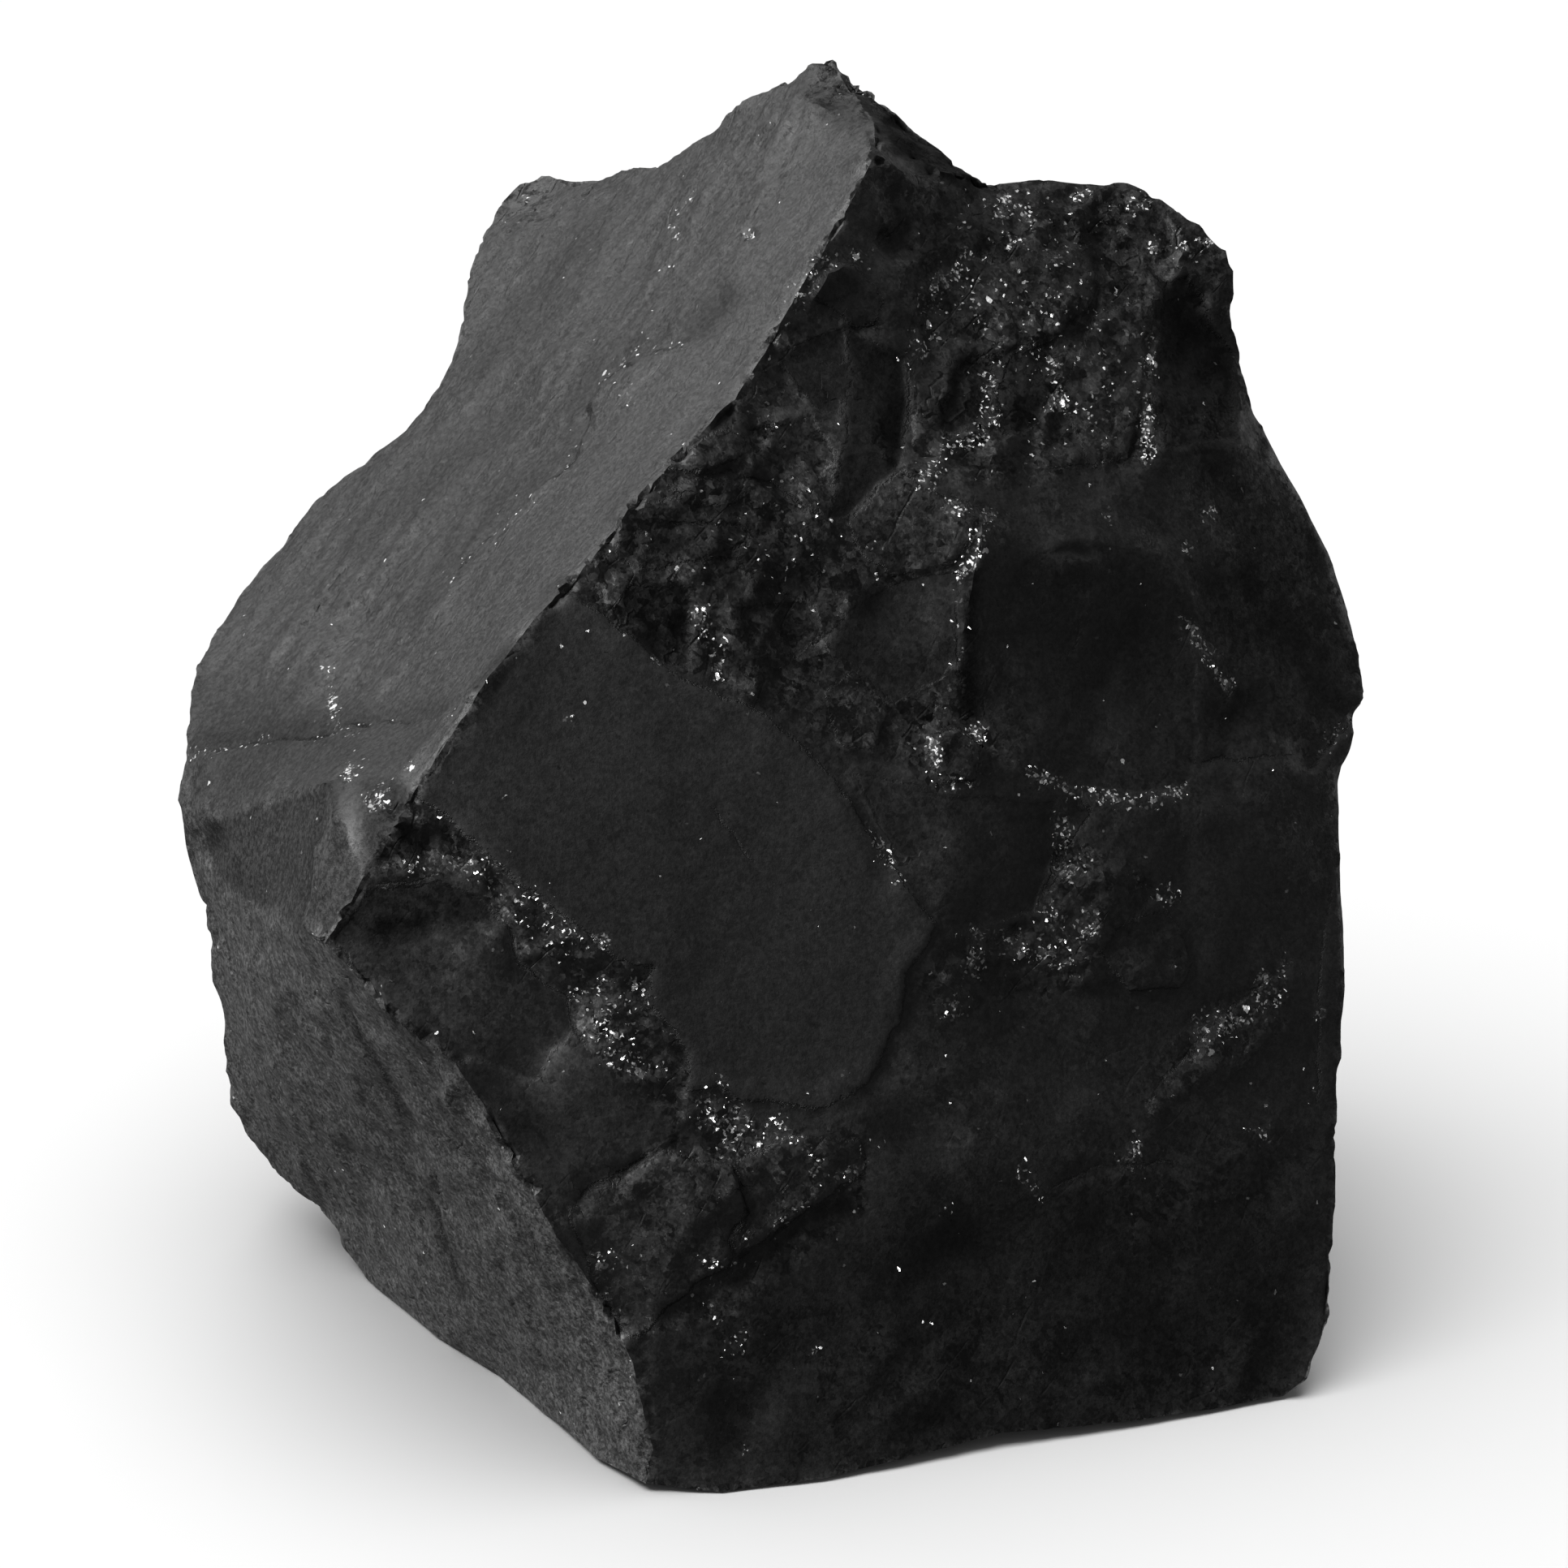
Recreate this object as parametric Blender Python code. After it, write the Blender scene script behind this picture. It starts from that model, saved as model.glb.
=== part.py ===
# A raw chunk of shungite: black carbon-rich rock, broken to flat faces with crisp ridges.
#
# The shape is set out like a sculptor's two-sided relief. One closed rim runs round the
# stone. The show side and the far side are each a net of corners stretched inside that
# rim, with the real ridges kept as edges. The net is then cut into small triangles and
# weathered a little, so that the break faces are not dead flat. Lengths are in mm.

import math

import bmesh
import bpy
from mathutils import Vector, geometry, noise

NODE = "shungite_stone"
MM = 0.001                     # metres in a millimetre

LEAN = math.radians(22.0)      # the relief's plane leans back from upright by this much
SIGHT = 408.0                  # the relief is laid out as seen from this far off
GROUND = 32.2                  # the relief's middle stands this high above the base

SHOW_STEP = 1.5                # triangle size on the show side
FAR_STEP = 2.56                # triangle size on the far side and under the base
LATTICE_MARGIN = 0.55          # of a triangle's size: no lattice point this near to an edge
JOIN_WITHIN = 1e-5             # flat points closer than this count as one
RELAX_ROUNDS = 12              # how far a face settles between its ridges, like a film
RELAX_SHARE = 0.5              # how far a point goes to its neighbours' middle each round

SWELL_SIZE, SWELL_HEIGHT = 11.0, 0.45      # slow unevenness of a break face
CHIP_SIZE, CHIP_HEIGHT = 5.5, 0.42         # small tilted break planes
CRUMB_SIZE, CRUMB_HEIGHT = 2.6, 0.16       # roughness that the mesh can just carry
SWELL_LAYERS, CRUMB_LAYERS = 2, 3          # noise layers, each half the size of the last
CRUMB_AWAY = Vector((9, 4, 2))             # sets the crumb pattern apart from the swell's
TILT_SPREAD = 7.0                          # sets neighbouring break planes' tilts apart
RIM_HOLD = 0.35                            # share of the weathering that the rim takes
SLAB_HOLD = 0.25                           # share that the smooth parting face takes
LEFT_HOLD, LEFT_FACING = 0.55, -0.45       # share on the smoother breaks that face left
SHOULDER_INSET, SHOULDER_DROP = 0.955, 2.4 # the far side turns away from the rim this fast
SHOULDER_ABOVE = 5.0                       # no shoulder this low: the base is close there
BASE_CLEAR = 0.05                          # weathered points stay this far above the base
FLAT = 1e-6                                # a point this near to the base lies in it

# Relief corners: (to the right, up, towards the viewer).
# The rim, clockwise from the peak.
RIM = [
    (2.2, 35.8, -17), (4.9, 33.7, -14.5), (6.5, 32.2, -14), (8.6, 30.5, -11.6),
    (10.2, 29.7, -11.4), (12.6, 29.8, -12.6), (17.2, 29.6, -13.6), (18.7, 28.8, -13.6),
    (20.1, 27.8, -13.6), (21.8, 26.3, -13.6), (22.2, 25.3, -13.6), (22.3, 22.5, -13.8),
    (23.1, 18.8, -14.5), (24.9, 15.5, -15), (27.0, 12.1, -15.5), (28.3, 7.4, -15.5),
    (28.7, 4.4, -15), (28.1, 3.4, -14), (28.0, 1.6, -13.5), (27.3, 0.7, -13),
    (27.4, -1.5, -12.8), (27.7, -5.9, -12), (27.8, -9.3, -11.5), (27.3, -17.2, -10.7),
    (27.0, -23.2, -10), (27.0, -26.4, -9.5), (25.9, -29.4, -9), (24.6, -30.2, -9),
    (17.4, -31.4, -6), (11.4, -32.0, -4), (6.2, -33.2, -2), (2.0, -34.3, -0.5),
    (-3.0, -34.8, 0.5), (-6.8, -34.5, 0.5), (-9.2, -33.2, -2.5), (-11.3, -31.4, -6.5),
    (-14.0, -29.2, -11.5), (-17.1, -27.2, -15.5), (-20.6, -24.4, -22),
    (-23.0, -20.9, -25), (-25.3, -19.0, -26.5), (-27.2, -15.8, -26),
    (-27.5, -12.1, -22), (-28.3, -7.2, -18.5), (-29.3, -3.7, -17.5),
    (-29.7, -0.8, -17), (-29.5, 1.4, -17.5), (-29.4, 3.4, -19.5), (-28.8, 5.8, -22.5),
    (-27.8, 7.6, -25), (-25.7, 10.8, -27.5), (-22.9, 14.1, -28), (-18.6, 17.4, -27),
    (-17.0, 19.6, -27), (-16.0, 21.8, -28), (-15.6, 25.0, -30.5), (-15.0, 26.8, -32),
    (-14.0, 28.6, -33.5), (-13.0, 29.6, -34.3), (-11.9, 30.1, -34), (-10.4, 29.8, -32),
    (-9.0, 29.8, -30.5), (-7.4, 30.4, -28), (-6.2, 30.4, -26), (-4.6, 31.4, -23.5),
    (-2.0, 33.5, -20.5), (0.4, 34.8, -18.5),
]

# Corners inside the rim on the show side.
SHOW = {
    "cap_foot": (3.4, 34.2, -14.4), "ledge_left": (1.1, 33.6, -14.5),
    "ledge_mid": (4.4, 33.0, -11.5), "ledge_right": (7.4, 30.4, -9.2),
    "ridge_top": (4.6, 31.3, -6.5), "ridge_a": (1.8, 26.0, -4.5),
    "ridge_b": (-2.4, 19.0, -1.5), "ridge_c": (-7.6, 13.4, 1.5),
    "ridge_d": (-13.0, 7.0, 4.0), "ridge_e": (-16.2, 2.6, 5.2),
    "ridge_foot": (-18.2, -0.3, 6.0),
    "sky_a": (-4.6, 22.6, -9.6), "sky_b": (-9.3, 20.0, -13.6),
    "sky_c": (-13.5, 16.0, -15.0), "sky_d": (-18.0, 10.0, -12.9),
    "sky_e": (-23.0, 6.2, -15.0), "sky_f": (-10.5, 25.5, -24.6),
    "step_a": (-25.4, 2.3, -12.2), "step_b": (-21.0, 3.0, -5.4),
    "band_a": (-27.6, -1.7, -11.5), "band_b": (-24.8, -0.4, -5.5),
    "band_end": (-22.4, 0.0, 2.0),
    "hollow_low": (-26.2, -5.8, -7.5), "facet_low": (-23.6, -7.0, 2.2),
    "sliver_top": (-22.1, -1.8, 4.2), "sliver_tip": (-20.6, -4.9, 6.0),
    "chin": (-22.5, -7.8, 5.0),
    "edge_a": (-19.6, -11.2, 5.8), "edge_b": (-16.2, -13.7, 5.6),
    "edge_c": (-13.7, -18.0, 5.0), "edge_d": (-10.5, -23.3, 3.8),
    "edge_e": (-7.4, -28.3, 2.2), "edge_f": (-6.4, -32.8, 1.2),
    "under_a": (-21.5, -15.0, -6.0), "under_b": (-15.5, -23.5, -5.6),
    "under_c": (-25.5, -12.0, -11.4),
    "slab_top": (-10.2, 8.9, 3.1), "slab_a": (-2.7, 4.2, 1.3),
    "slab_b": (2.6, 0.0, -0.3), "slab_c": (5.9, -4.9, -1.3),
    "slab_tip": (7.4, -8.2, -1.7), "slab_d": (4.6, -13.0, -1.1),
    "slab_e": (1.8, -16.2, -0.6), "slab_f": (-4.2, -15.2, 1.4),
    "slab_g": (-6.9, -10.6, 2.6), "slab_h": (-10.5, -6.5, 3.9),
    "slab_i": (-14.6, -3.3, 5.2),
    "dip_a": (-9.4, -11.4, 2.7), "dip_b": (-13.6, -7.2, 4.4),
    "dip_c": (4.6, 3.2, -2.0), "dip_d": (9.6, -10.2, -4.0),
    "low_a": (-3.2, -24.3, 1.0), "low_b": (3.6, -19.5, -0.9),
    "low_c": (15.4, -19.4, -4.9), "low_d": (-9.0, -17.8, 3.2),
    "mid_a": (13.8, -5.4, -4.2), "mid_b": (20.6, -11.4, -7.4),
    "top_a": (6.2, 22.6, -7.0), "top_b": (5.8, 15.4, -3.6),
    "top_c": (18.7, 24.5, -11.8), "top_d": (18.7, 16.6, -9.4),
    "top_e": (9.8, 13.0, -3.4), "top_f": (8.6, 6.2, -2.8), "top_g": (9.0, 1.4, -2.3),
    "scoop_a": (12.0, 11.0, -4.9), "scoop_b": (14.8, 12.0, -5.7),
    "scoop_c": (19.8, 10.6, -8.8), "scoop_d": (20.4, 1.2, -8.6),
    "scoop_e": (13.9, -0.2, -4.7), "scoop_f": (11.5, 1.5, -3.5),
    "scoop_mid": (16.4, 5.6, -8.6),
}

# Chains of corners that are true ridges or grooves on the show side. A number is a place
# on the rim, counted from the peak.
SHOW_RIDGES = [
    [0, "cap_foot", 1], ["cap_foot", "ledge_left", 66], ["cap_foot", "ledge_mid", "ledge_right", 4],
    ["ledge_left", "ledge_mid", "ridge_top"],
    ["ridge_top", "ridge_a", "ridge_b", "ridge_c", "ridge_d", "ridge_e", "ridge_foot"],
    ["ridge_foot", "sliver_tip", "chin", "edge_a", "edge_b", "edge_c", "edge_d", "edge_e",
     "edge_f", 33],
    ["ridge_foot", "band_end", "band_b", "band_a", 45],
    ["ridge_e", "step_b", "step_a", 46],
    ["band_end", "sliver_top", "sliver_tip"], ["sliver_top", "facet_low", "chin"],
    ["band_a", "hollow_low", "facet_low"], ["hollow_low", 43],
    ["ridge_d", "slab_top", "slab_a", "slab_b", "slab_c", "slab_tip", "slab_d", "slab_e",
     "slab_f", "slab_g", "slab_h", "slab_i", "ridge_foot"],
    ["scoop_a", "scoop_b", "scoop_c", "scoop_d", "scoop_e", "scoop_f", "scoop_a"],
    ["top_a", "top_b", "top_e", "top_f", "top_g"], ["top_c", "top_d"], [17, "scoop_d"],
]

# Corners of the far side, upright: (right, back, above the base). The last ring is the
# flat patch that the stone rests on.
FAR = {
    "back_peak": (8.0, 30.0, 49.5), "back_crest": (19.0, 31.0, 45.5),
    "back_a": (5.0, 40.0, 41.5), "back_b": (-9.5, 45.5, 37.5),
    "back_c": (-22.5, 34.5, 30.0), "back_d": (20.5, 36.0, 33.0),
    "side_a": (27.2, 24.5, 33.5), "side_b": (28.0, 21.5, 14.0), "side_c": (26.6, 18.0, 2.2),
    "back_e": (22.0, 36.5, 15.0), "back_f": (5.0, 44.0, 20.0),
    "back_g": (-13.0, 42.0, 18.5), "back_h": (-24.5, 31.0, 13.0),
    "foot_a": (21.8, 31.5, 1.8), "foot_b": (4.0, 38.5, 2.2), "foot_c": (-13.5, 34.5, 2.4),
    "base_a": (-4.6, -11.4, 0.0), "base_b": (8.6, -6.6, 0.0), "base_c": (23.6, -0.6, 0.0),
    "base_d": (24.6, 14.0, 0.0), "base_e": (20.6, 28.6, 0.0), "base_f": (4.0, 35.4, 0.0),
    "base_g": (-12.6, 31.4, 0.0), "base_h": (-20.0, 24.0, 0.0), "base_i": (-14.0, 6.5, 0.0),
}

FAR_RIDGES = [
    ["base_a", "base_b", "base_c", "base_d", "base_e", "base_f", "base_g", "base_h",
     "base_i", "base_a"],
    [7, "back_crest", "back_d", "back_e", "foot_a"], ["back_crest", "back_peak", "back_a"],
    [59, "back_b", "back_g", "foot_c"], ["back_b", "back_a", "back_f", "foot_b"],
    ["back_a", "back_d"], ["side_a", "side_b", "side_c"], ["foot_a", "foot_b", "foot_c"],
    [51, "back_c", "back_h", 41], ["back_c", "back_b"],
]


def upright(corner):
    """Turn a relief corner (right, up, towards) into (right, back, above the base)."""
    right, up, toward = corner
    shrink = (SIGHT - toward) / SIGHT
    right, up = right * shrink, up * shrink
    back = up * math.sin(LEAN) - toward * math.cos(LEAN)
    height = up * math.cos(LEAN) + toward * math.sin(LEAN) + GROUND
    return Vector((right, back, height))


def drawn(point):
    """Where an upright point falls on the relief's plane."""
    up = point.y * math.sin(LEAN) + (point.z - GROUND) * math.cos(LEAN)
    toward = (point.z - GROUND) * math.sin(LEAN) - point.y * math.cos(LEAN)
    grow = SIGHT / (SIGHT - toward)
    return Vector((point.x * grow, up * grow))


def rim_edges():
    """The rim's edges, as pairs of corner numbers."""
    return [(i, (i + 1) % len(RIM)) for i in range(len(RIM))]


def chain_edges(ridges, names):
    """The edges along every ridge, as pairs of corner numbers."""
    edges = []
    for chain in ridges:
        places = [link if isinstance(link, int) else names[link] for link in chain]
        edges += zip(places, places[1:])
    return edges


def stretch_net(corners, names, ridges):
    """Triangles between the corners that lie inside the rim and keep every ridge."""
    flat = [drawn(point) for point in corners]
    edges = rim_edges() + chain_edges(ridges, names)
    _, _, faces, origin, _, _ = geometry.delaunay_2d_cdt(flat, edges, [], 1, JOIN_WITHIN)
    return [tuple(origin[i][0] for i in face) for face in faces]


def shoulder():
    """A ring of far-side corners just behind the rim, where the stone turns away."""
    ring = [upright((right * SHOULDER_INSET, up * SHOULDER_INSET, toward - SHOULDER_DROP))
            for right, up, toward in RIM]
    return [point for point in ring if point.z > SHOULDER_ABOVE]


def build_cage():
    """All corners, the triangles of the show side and those of the far side."""
    rim = [upright(corner) for corner in RIM]
    show = [upright(corner) for corner in SHOW.values()]
    far = [Vector(corner) for corner in FAR.values()] + shoulder()
    show_names = {name: len(rim) + i for i, name in enumerate(SHOW)}
    far_names = {name: len(rim) + i for i, name in enumerate(FAR)}
    front = stretch_net(rim + show, show_names, SHOW_RIDGES)
    rear = stretch_net(rim + far, far_names, FAR_RIDGES)
    shift = len(show)
    rear = [tuple(i if i < len(rim) else i + shift for i in face) for face in rear]
    rear = [(a, c, b) for a, b, c in rear]
    ridges = chain_edges(SHOW_RIDGES, show_names)
    ridges += [tuple(i if i < len(rim) else i + shift for i in edge)
               for edge in chain_edges(FAR_RIDGES, far_names)]
    return rim + show + far, front, rear, ridges


class FineNet:
    """Collects the small triangles, and shares the points along the cage's edges."""

    def __init__(self, corners):
        self.points = list(corners)
        self.faces = []
        self.edge_points = {}

    def along(self, a, b, step):
        """Point numbers from corner a to corner b, both ends included."""
        key = (min(a, b), max(a, b))
        if key not in self.edge_points:
            start, end = self.points[key[0]], self.points[key[1]]
            count = max(1, math.ceil((end - start).length / step))
            inner = []
            for i in range(1, count):
                inner.append(len(self.points))
                self.points.append(start.lerp(end, i / count))
            self.edge_points[key] = [key[0]] + inner + [key[1]]
        run = self.edge_points[key]
        return run if run[0] == a else run[::-1]

    def fill(self, face, step):
        """Cut one cage triangle into small ones on an even lattice."""
        a, b, c = (self.points[i] for i in face)
        across = (b - a).normalized()
        normal = (b - a).cross(c - a).normalized()
        upward = normal.cross(across)
        loop = []
        for start, end in zip(face, face[1:] + face[:1]):
            loop += self.along(start, end, step)[:-1]
        flat = [Vector(((self.points[i] - a).dot(across), (self.points[i] - a).dot(upward)))
                for i in loop]
        numbers = list(loop)
        for spot in lattice(flat[0], Vector(((b - a).length, 0)),
                            Vector(((c - a).dot(across), (c - a).dot(upward))), step):
            numbers.append(len(self.points))
            self.points.append(a + across * spot.x + upward * spot.y)
            flat.append(spot)
        rim = [(i, (i + 1) % len(loop)) for i in range(len(loop))]
        _, _, faces, origin, _, _ = geometry.delaunay_2d_cdt(flat, rim, [], 1, JOIN_WITHIN)
        self.faces += [tuple(numbers[origin[i][0]] for i in tri) for tri in faces]


def lattice(a, b, c, step):
    """Points of a triangular lattice that lie well inside the flat triangle a, b, c."""
    row_height = step * math.sqrt(3) / 2
    margin = LATTICE_MARGIN * step
    sides = [(a, b), (b, c), (c, a)]
    spots = []
    for row in range(1, int(c.y / row_height) + 1):
        y = row * row_height
        shift = 0.5 * step * (row % 2)
        low = int(min(a.x, b.x, c.x) / step) - 1
        high = int(max(a.x, b.x, c.x) / step) + 1
        for column in range(low, high + 1):
            spot = Vector((column * step + shift, y))
            inside = [(end - start).cross(spot - start) / (end - start).length
                      for start, end in sides]
            if min(inside) > margin:
                spots.append(spot)
    return spots


def slab_points(points):
    """Numbers of the points that lie on the smooth parting face of the show side."""
    start = list(SHOW).index("slab_top")
    end = list(SHOW).index("slab_i")
    loop = [Vector(corner[:2]) for corner in list(SHOW.values())[start:end + 1]]
    loop.append(Vector(SHOW["ridge_foot"][:2]))
    loop.append(Vector(SHOW["ridge_d"][:2]))
    return {i for i, point in enumerate(points) if lies_inside(drawn(point), loop)}


def lies_inside(spot, loop):
    """Whether a flat spot lies inside a closed loop, by counting the sides to its right."""
    crossings = 0
    for a, b in zip(loop, loop[1:] + loop[:1]):
        if (a.y > spot.y) != (b.y > spot.y):
            crossings += spot.x < a.x + (b.x - a.x) * (spot.y - a.y) / (b.y - a.y)
    return crossings % 2 == 1


def chip(point, size):
    """Height of small tilted break planes: a plane of its own in each random cell."""
    _, seeds = noise.voronoi(point / size)
    tilt = noise.cell_vector(seeds[0] * TILT_SPREAD) * 2.0 - Vector((1, 1, 1))
    return tilt.dot(point / size - seeds[0])


def relax(mesh, fixed):
    """Settle the faces between their ridges: each free point moves to its neighbours' middle."""
    free = [vert for vert in mesh.verts if vert.index not in fixed]
    for _ in range(RELAX_ROUNDS):
        middles = []
        for vert in free:
            around = [edge.other_vert(vert).co for edge in vert.link_edges]
            middles.append(sum(around, Vector()) / len(around))
        for vert, middle in zip(free, middles):
            vert.co = vert.co.lerp(middle, RELAX_SHARE)


def weather(mesh, held):
    """Move each point a little along its normal. Held points move less, base points not."""
    mesh.normal_update()
    moves = []
    for vert in mesh.verts:
        p = vert.co
        height = SWELL_HEIGHT * noise.fractal(p / SWELL_SIZE, 1.0, 2.0, SWELL_LAYERS)
        height += CHIP_HEIGHT * chip(p, CHIP_SIZE)
        crumb = noise.fractal(p / CRUMB_SIZE + CRUMB_AWAY, 1.0, 2.0, CRUMB_LAYERS)
        height += CRUMB_HEIGHT * crumb
        share = 0.0 if vert.index in held["base"] else 1.0
        share *= RIM_HOLD if vert.index in held["rim"] else 1.0
        share *= SLAB_HOLD if vert.index in held["slab"] else 1.0
        share *= LEFT_HOLD if vert.normal.x < LEFT_FACING else 1.0
        moves.append(vert.normal * height * share)
    for vert, move in zip(mesh.verts, moves):
        vert.co += move
        if vert.index not in held["base"]:
            vert.co.z = max(vert.co.z, BASE_CLEAR)


def build_mesh():
    """The finished closed mesh, centred over its base, in metres."""
    corners, front, rear, ridges = build_cage()
    net = FineNet(corners)
    rim_points = {i for a, b in rim_edges() for i in net.along(a, b, SHOW_STEP)}
    for face in front:
        net.fill(face, SHOW_STEP)
    show_end = len(net.points)
    for face in rear:
        net.fill(face, FAR_STEP)
    ridge_points = {i for a, b in ridges for i in net.along(a, b, FAR_STEP)}
    base_points = {i for i, point in enumerate(net.points) if abs(point.z) < FLAT}

    mesh = bmesh.new()
    verts = [mesh.verts.new(point) for point in net.points]
    for face in net.faces:
        mesh.faces.new([verts[i] for i in face])
    mesh.verts.index_update()
    bmesh.ops.recalc_face_normals(mesh, faces=mesh.faces)
    relax(mesh, rim_points | ridge_points | base_points)
    slab = slab_points([vert.co for vert in mesh.verts[:show_end]])
    weather(mesh, {"rim": rim_points, "base": base_points, "slab": slab})
    centre_on_base(mesh)
    bmesh.ops.scale(mesh, vec=(MM, MM, MM), verts=mesh.verts)
    return mesh


def centre_on_base(mesh):
    """Slide the mesh so that the middle of its box stands over the origin."""
    for axis in (0, 1):
        places = [vert.co[axis] for vert in mesh.verts]
        middle = (min(places) + max(places)) / 2
        for vert in mesh.verts:
            vert.co[axis] -= middle


def stone_material():
    """Matt black carbon rock."""
    material = bpy.data.materials.new("shungite_black")
    material.use_nodes = True
    shader = material.node_tree.nodes["Principled BSDF"]
    shader.inputs["Base Color"].default_value = (0.022, 0.022, 0.023, 1.0)
    shader.inputs["Roughness"].default_value = 0.55
    shader.inputs["Metallic"].default_value = 0.0
    return material


def main():
    for old in list(bpy.data.objects):
        bpy.data.objects.remove(old)
    data = bpy.data.meshes.new(NODE)
    mesh = build_mesh()
    mesh.to_mesh(data)
    mesh.free()
    data.materials.append(stone_material())
    stone = bpy.data.objects.new(NODE, data)
    bpy.context.scene.collection.objects.link(stone)


main()
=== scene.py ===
import itertools
import math
from collections import namedtuple

import bpy
import numpy as np
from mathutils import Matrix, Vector


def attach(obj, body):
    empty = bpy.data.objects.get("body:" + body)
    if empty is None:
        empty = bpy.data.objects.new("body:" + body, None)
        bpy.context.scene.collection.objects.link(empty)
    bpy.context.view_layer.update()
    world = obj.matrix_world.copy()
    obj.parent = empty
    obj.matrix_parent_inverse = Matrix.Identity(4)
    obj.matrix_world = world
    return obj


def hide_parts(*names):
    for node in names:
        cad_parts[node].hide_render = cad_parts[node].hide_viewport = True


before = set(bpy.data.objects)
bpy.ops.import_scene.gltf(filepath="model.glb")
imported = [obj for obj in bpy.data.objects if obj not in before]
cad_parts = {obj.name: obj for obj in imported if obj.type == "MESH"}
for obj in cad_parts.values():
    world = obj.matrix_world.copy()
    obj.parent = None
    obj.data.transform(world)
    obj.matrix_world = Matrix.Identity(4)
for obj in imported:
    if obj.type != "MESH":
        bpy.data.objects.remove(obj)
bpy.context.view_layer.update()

nodeName = "shungite_stone"
metresPerMm = 0.001

# Places on the show side are given on a sight plane: a plane through the middle of the
# view, square to the line of sight, in mm to the right and up. The camera looks straight
# at it, so a mark keeps its place there whatever the depth of the rock behind it.
view = {
    "lean": math.radians(22.0),            # the camera looks down by this much
    "distance": 408.0,                     # mm from the middle of the view
    "middle": (0.63, -16.0, 32.2),         # mm, in the stone's own frame
    "lens": 190.0,
    "sensor": 36.0,
}


def sightLine():
    # Unit vector from the stone to the camera: (0, -cos lean, sin lean).
    return np.array((0.0, -math.cos(view["lean"]), math.sin(view["lean"])))


def onSight(points):
    # A point seen from the camera: (right, up) times distance / (distance - nearness).
    away = points - np.array(view["middle"])
    up = away @ np.array((0.0, math.sin(view["lean"]), math.cos(view["lean"])))
    near = away @ sightLine()
    grow = view["distance"] / (view["distance"] - near)
    return np.stack((away[:, 0] * grow, up * grow), axis=1)


stone = {
    "cuts": 5,                  # each CAD triangle becomes cuts x cuts small ones
    "crispAngle": 26.0,         # degrees: a CAD edge bent more than this stays a ridge
    "ridgeReach": 8.0,          # mm: unless its run of such edges is shorter than this
    "groupRounds": 90,          # passes that link such edges into runs
    "relaxRounds": 9,           # settles the CAD's small flats between the ridges
    "relaxShare": 0.6,          # how far a point goes to its neighbours' mean each time
    "ridgeRounds": 3, "ridgeFull": 0.35,    # how wide a ridge counts for chips and roughness
    "normalRounds": 2,          # settles the directions that the relief is cut along
    "shadeAngle": 30.0,         # degrees: fine edges bent more than this are shaded crisp
    "flatAbove": 0.62,          # breaks rougher than this show each little facet
    "baseBand": 0.02,           # mm: the resting face, left exactly flat
    "footFade": 1.5,            # mm above the floor over which the relief begins
    "facingEdge": 0.10,         # marks fade where the surface turns from the sight line
    "fabric": (0.557, 0.572, 0.602),        # the rock's layering runs this way
    "underFabric": (-0.494, 0.204, 0.846),  # and this way on the lower left face
}

# The relief that is cut into the fine skin, in mm.
relief = {
    "scoopSizes": (3.3, 1.5, 0.75),     # shell-shaped breaks from large to small
    "scoopSteps": (0.45, 0.50, 0.35),   # their height over their size in rubble
    "scoopStretch": 1.5,
    "scoopWobble": 0.3, "scoopMiddle": 0.1,
    "seamWidth": 0.16,                  # where two scoops meet
    "seamFrom": 1.0,                    # only scoops larger than this leave seams
    "swellSize": 7.0, "swellHeight": 0.16, "swellGain": (3.0, 0.15),
    "foldSize": 2.6, "foldHeight": 0.5,     # low folds along the layering, left faces
    "foldStretch": 3.0, "foldGain": 5.0,
    "grainSize": 0.9, "grainHeight": 0.06,
    "grainStretch": 2.0, "grainLeast": 0.35,
    "ridgeChip": 0.55,                  # knocked off the ridges here and there
    "chipSizes": (1.7, 0.8), "fineChip": 0.7,
    "chipFrom": (-0.05, 0.4),           # the noise over which a chip comes in
    "chipReach": (0.8, 2.5),            # its full width and its end, beside a chipped path
    "chipElsewhere": 0.25,              # share of that on ridges without a path of their own
    "crackShare": 0.4,                  # how much of a crack's depth is in the mesh
    "crackSpread": 1.3,                 # how much wider it is there
    "ledgeLip": 0.09,                   # how crisp a ledge's lip is
    "endStart": -0.05,                  # where the taper at the ends of a path begins
    "ledgeEnd": 0.18, "crackEnd": 0.2,  # the share of its length over which it tapers
    "jitter": 0.09, "jitterGain": (1.4, 0.4),   # hides the mesh's own pattern in rubble
    "wobbleSize": 1.6, "wobbleReach": 0.34,     # how marks wander off their straight links
    "plateEdge": 0.22,                  # the softness of a plate's border
    "rimKept": 0.25,                    # share of the relief kept along the outline
    "rimWidth": 0.14,
}

# Slow patterns that the finish reads, in mm.
pattern = {
    "patchSize": 1.4, "mottleSize": 3.8, "mottleStretch": 2.5, "creaseSize": 2.2,
    "creaseStretch": 3.5, "roughSize": 8.0,
    "fineStretch": 2.2,         # of the streaks that the finish draws along the layering
    "patchRange": (-0.1, 0.25), "mottleLayers": 4, "mottleGain": 1.1,
    "underFrom": (0.02, 0.16),  # how far a left face turns down before its layering changes
    "curveGain": 4.0, "broadGain": 2.2, "broadRounds": 10,
    "shadeGain": 0.3, "shadeRough": 1.5,
    "markFade": (0.5, 1.4), "crackFade": (0.5, 1.2), "crackMarkEnd": 0.25,
    "crackGain": 3.0, "crackLeast": 0.3,
    "glintCore": 0.4,           # share of a cluster's radius with its full density
    "paintedSkyShade": 0.5,             # painted shade: how much darker the rock is painted where it faces left and up
    "skyFrom": (0.3, 0.6),
}

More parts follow.
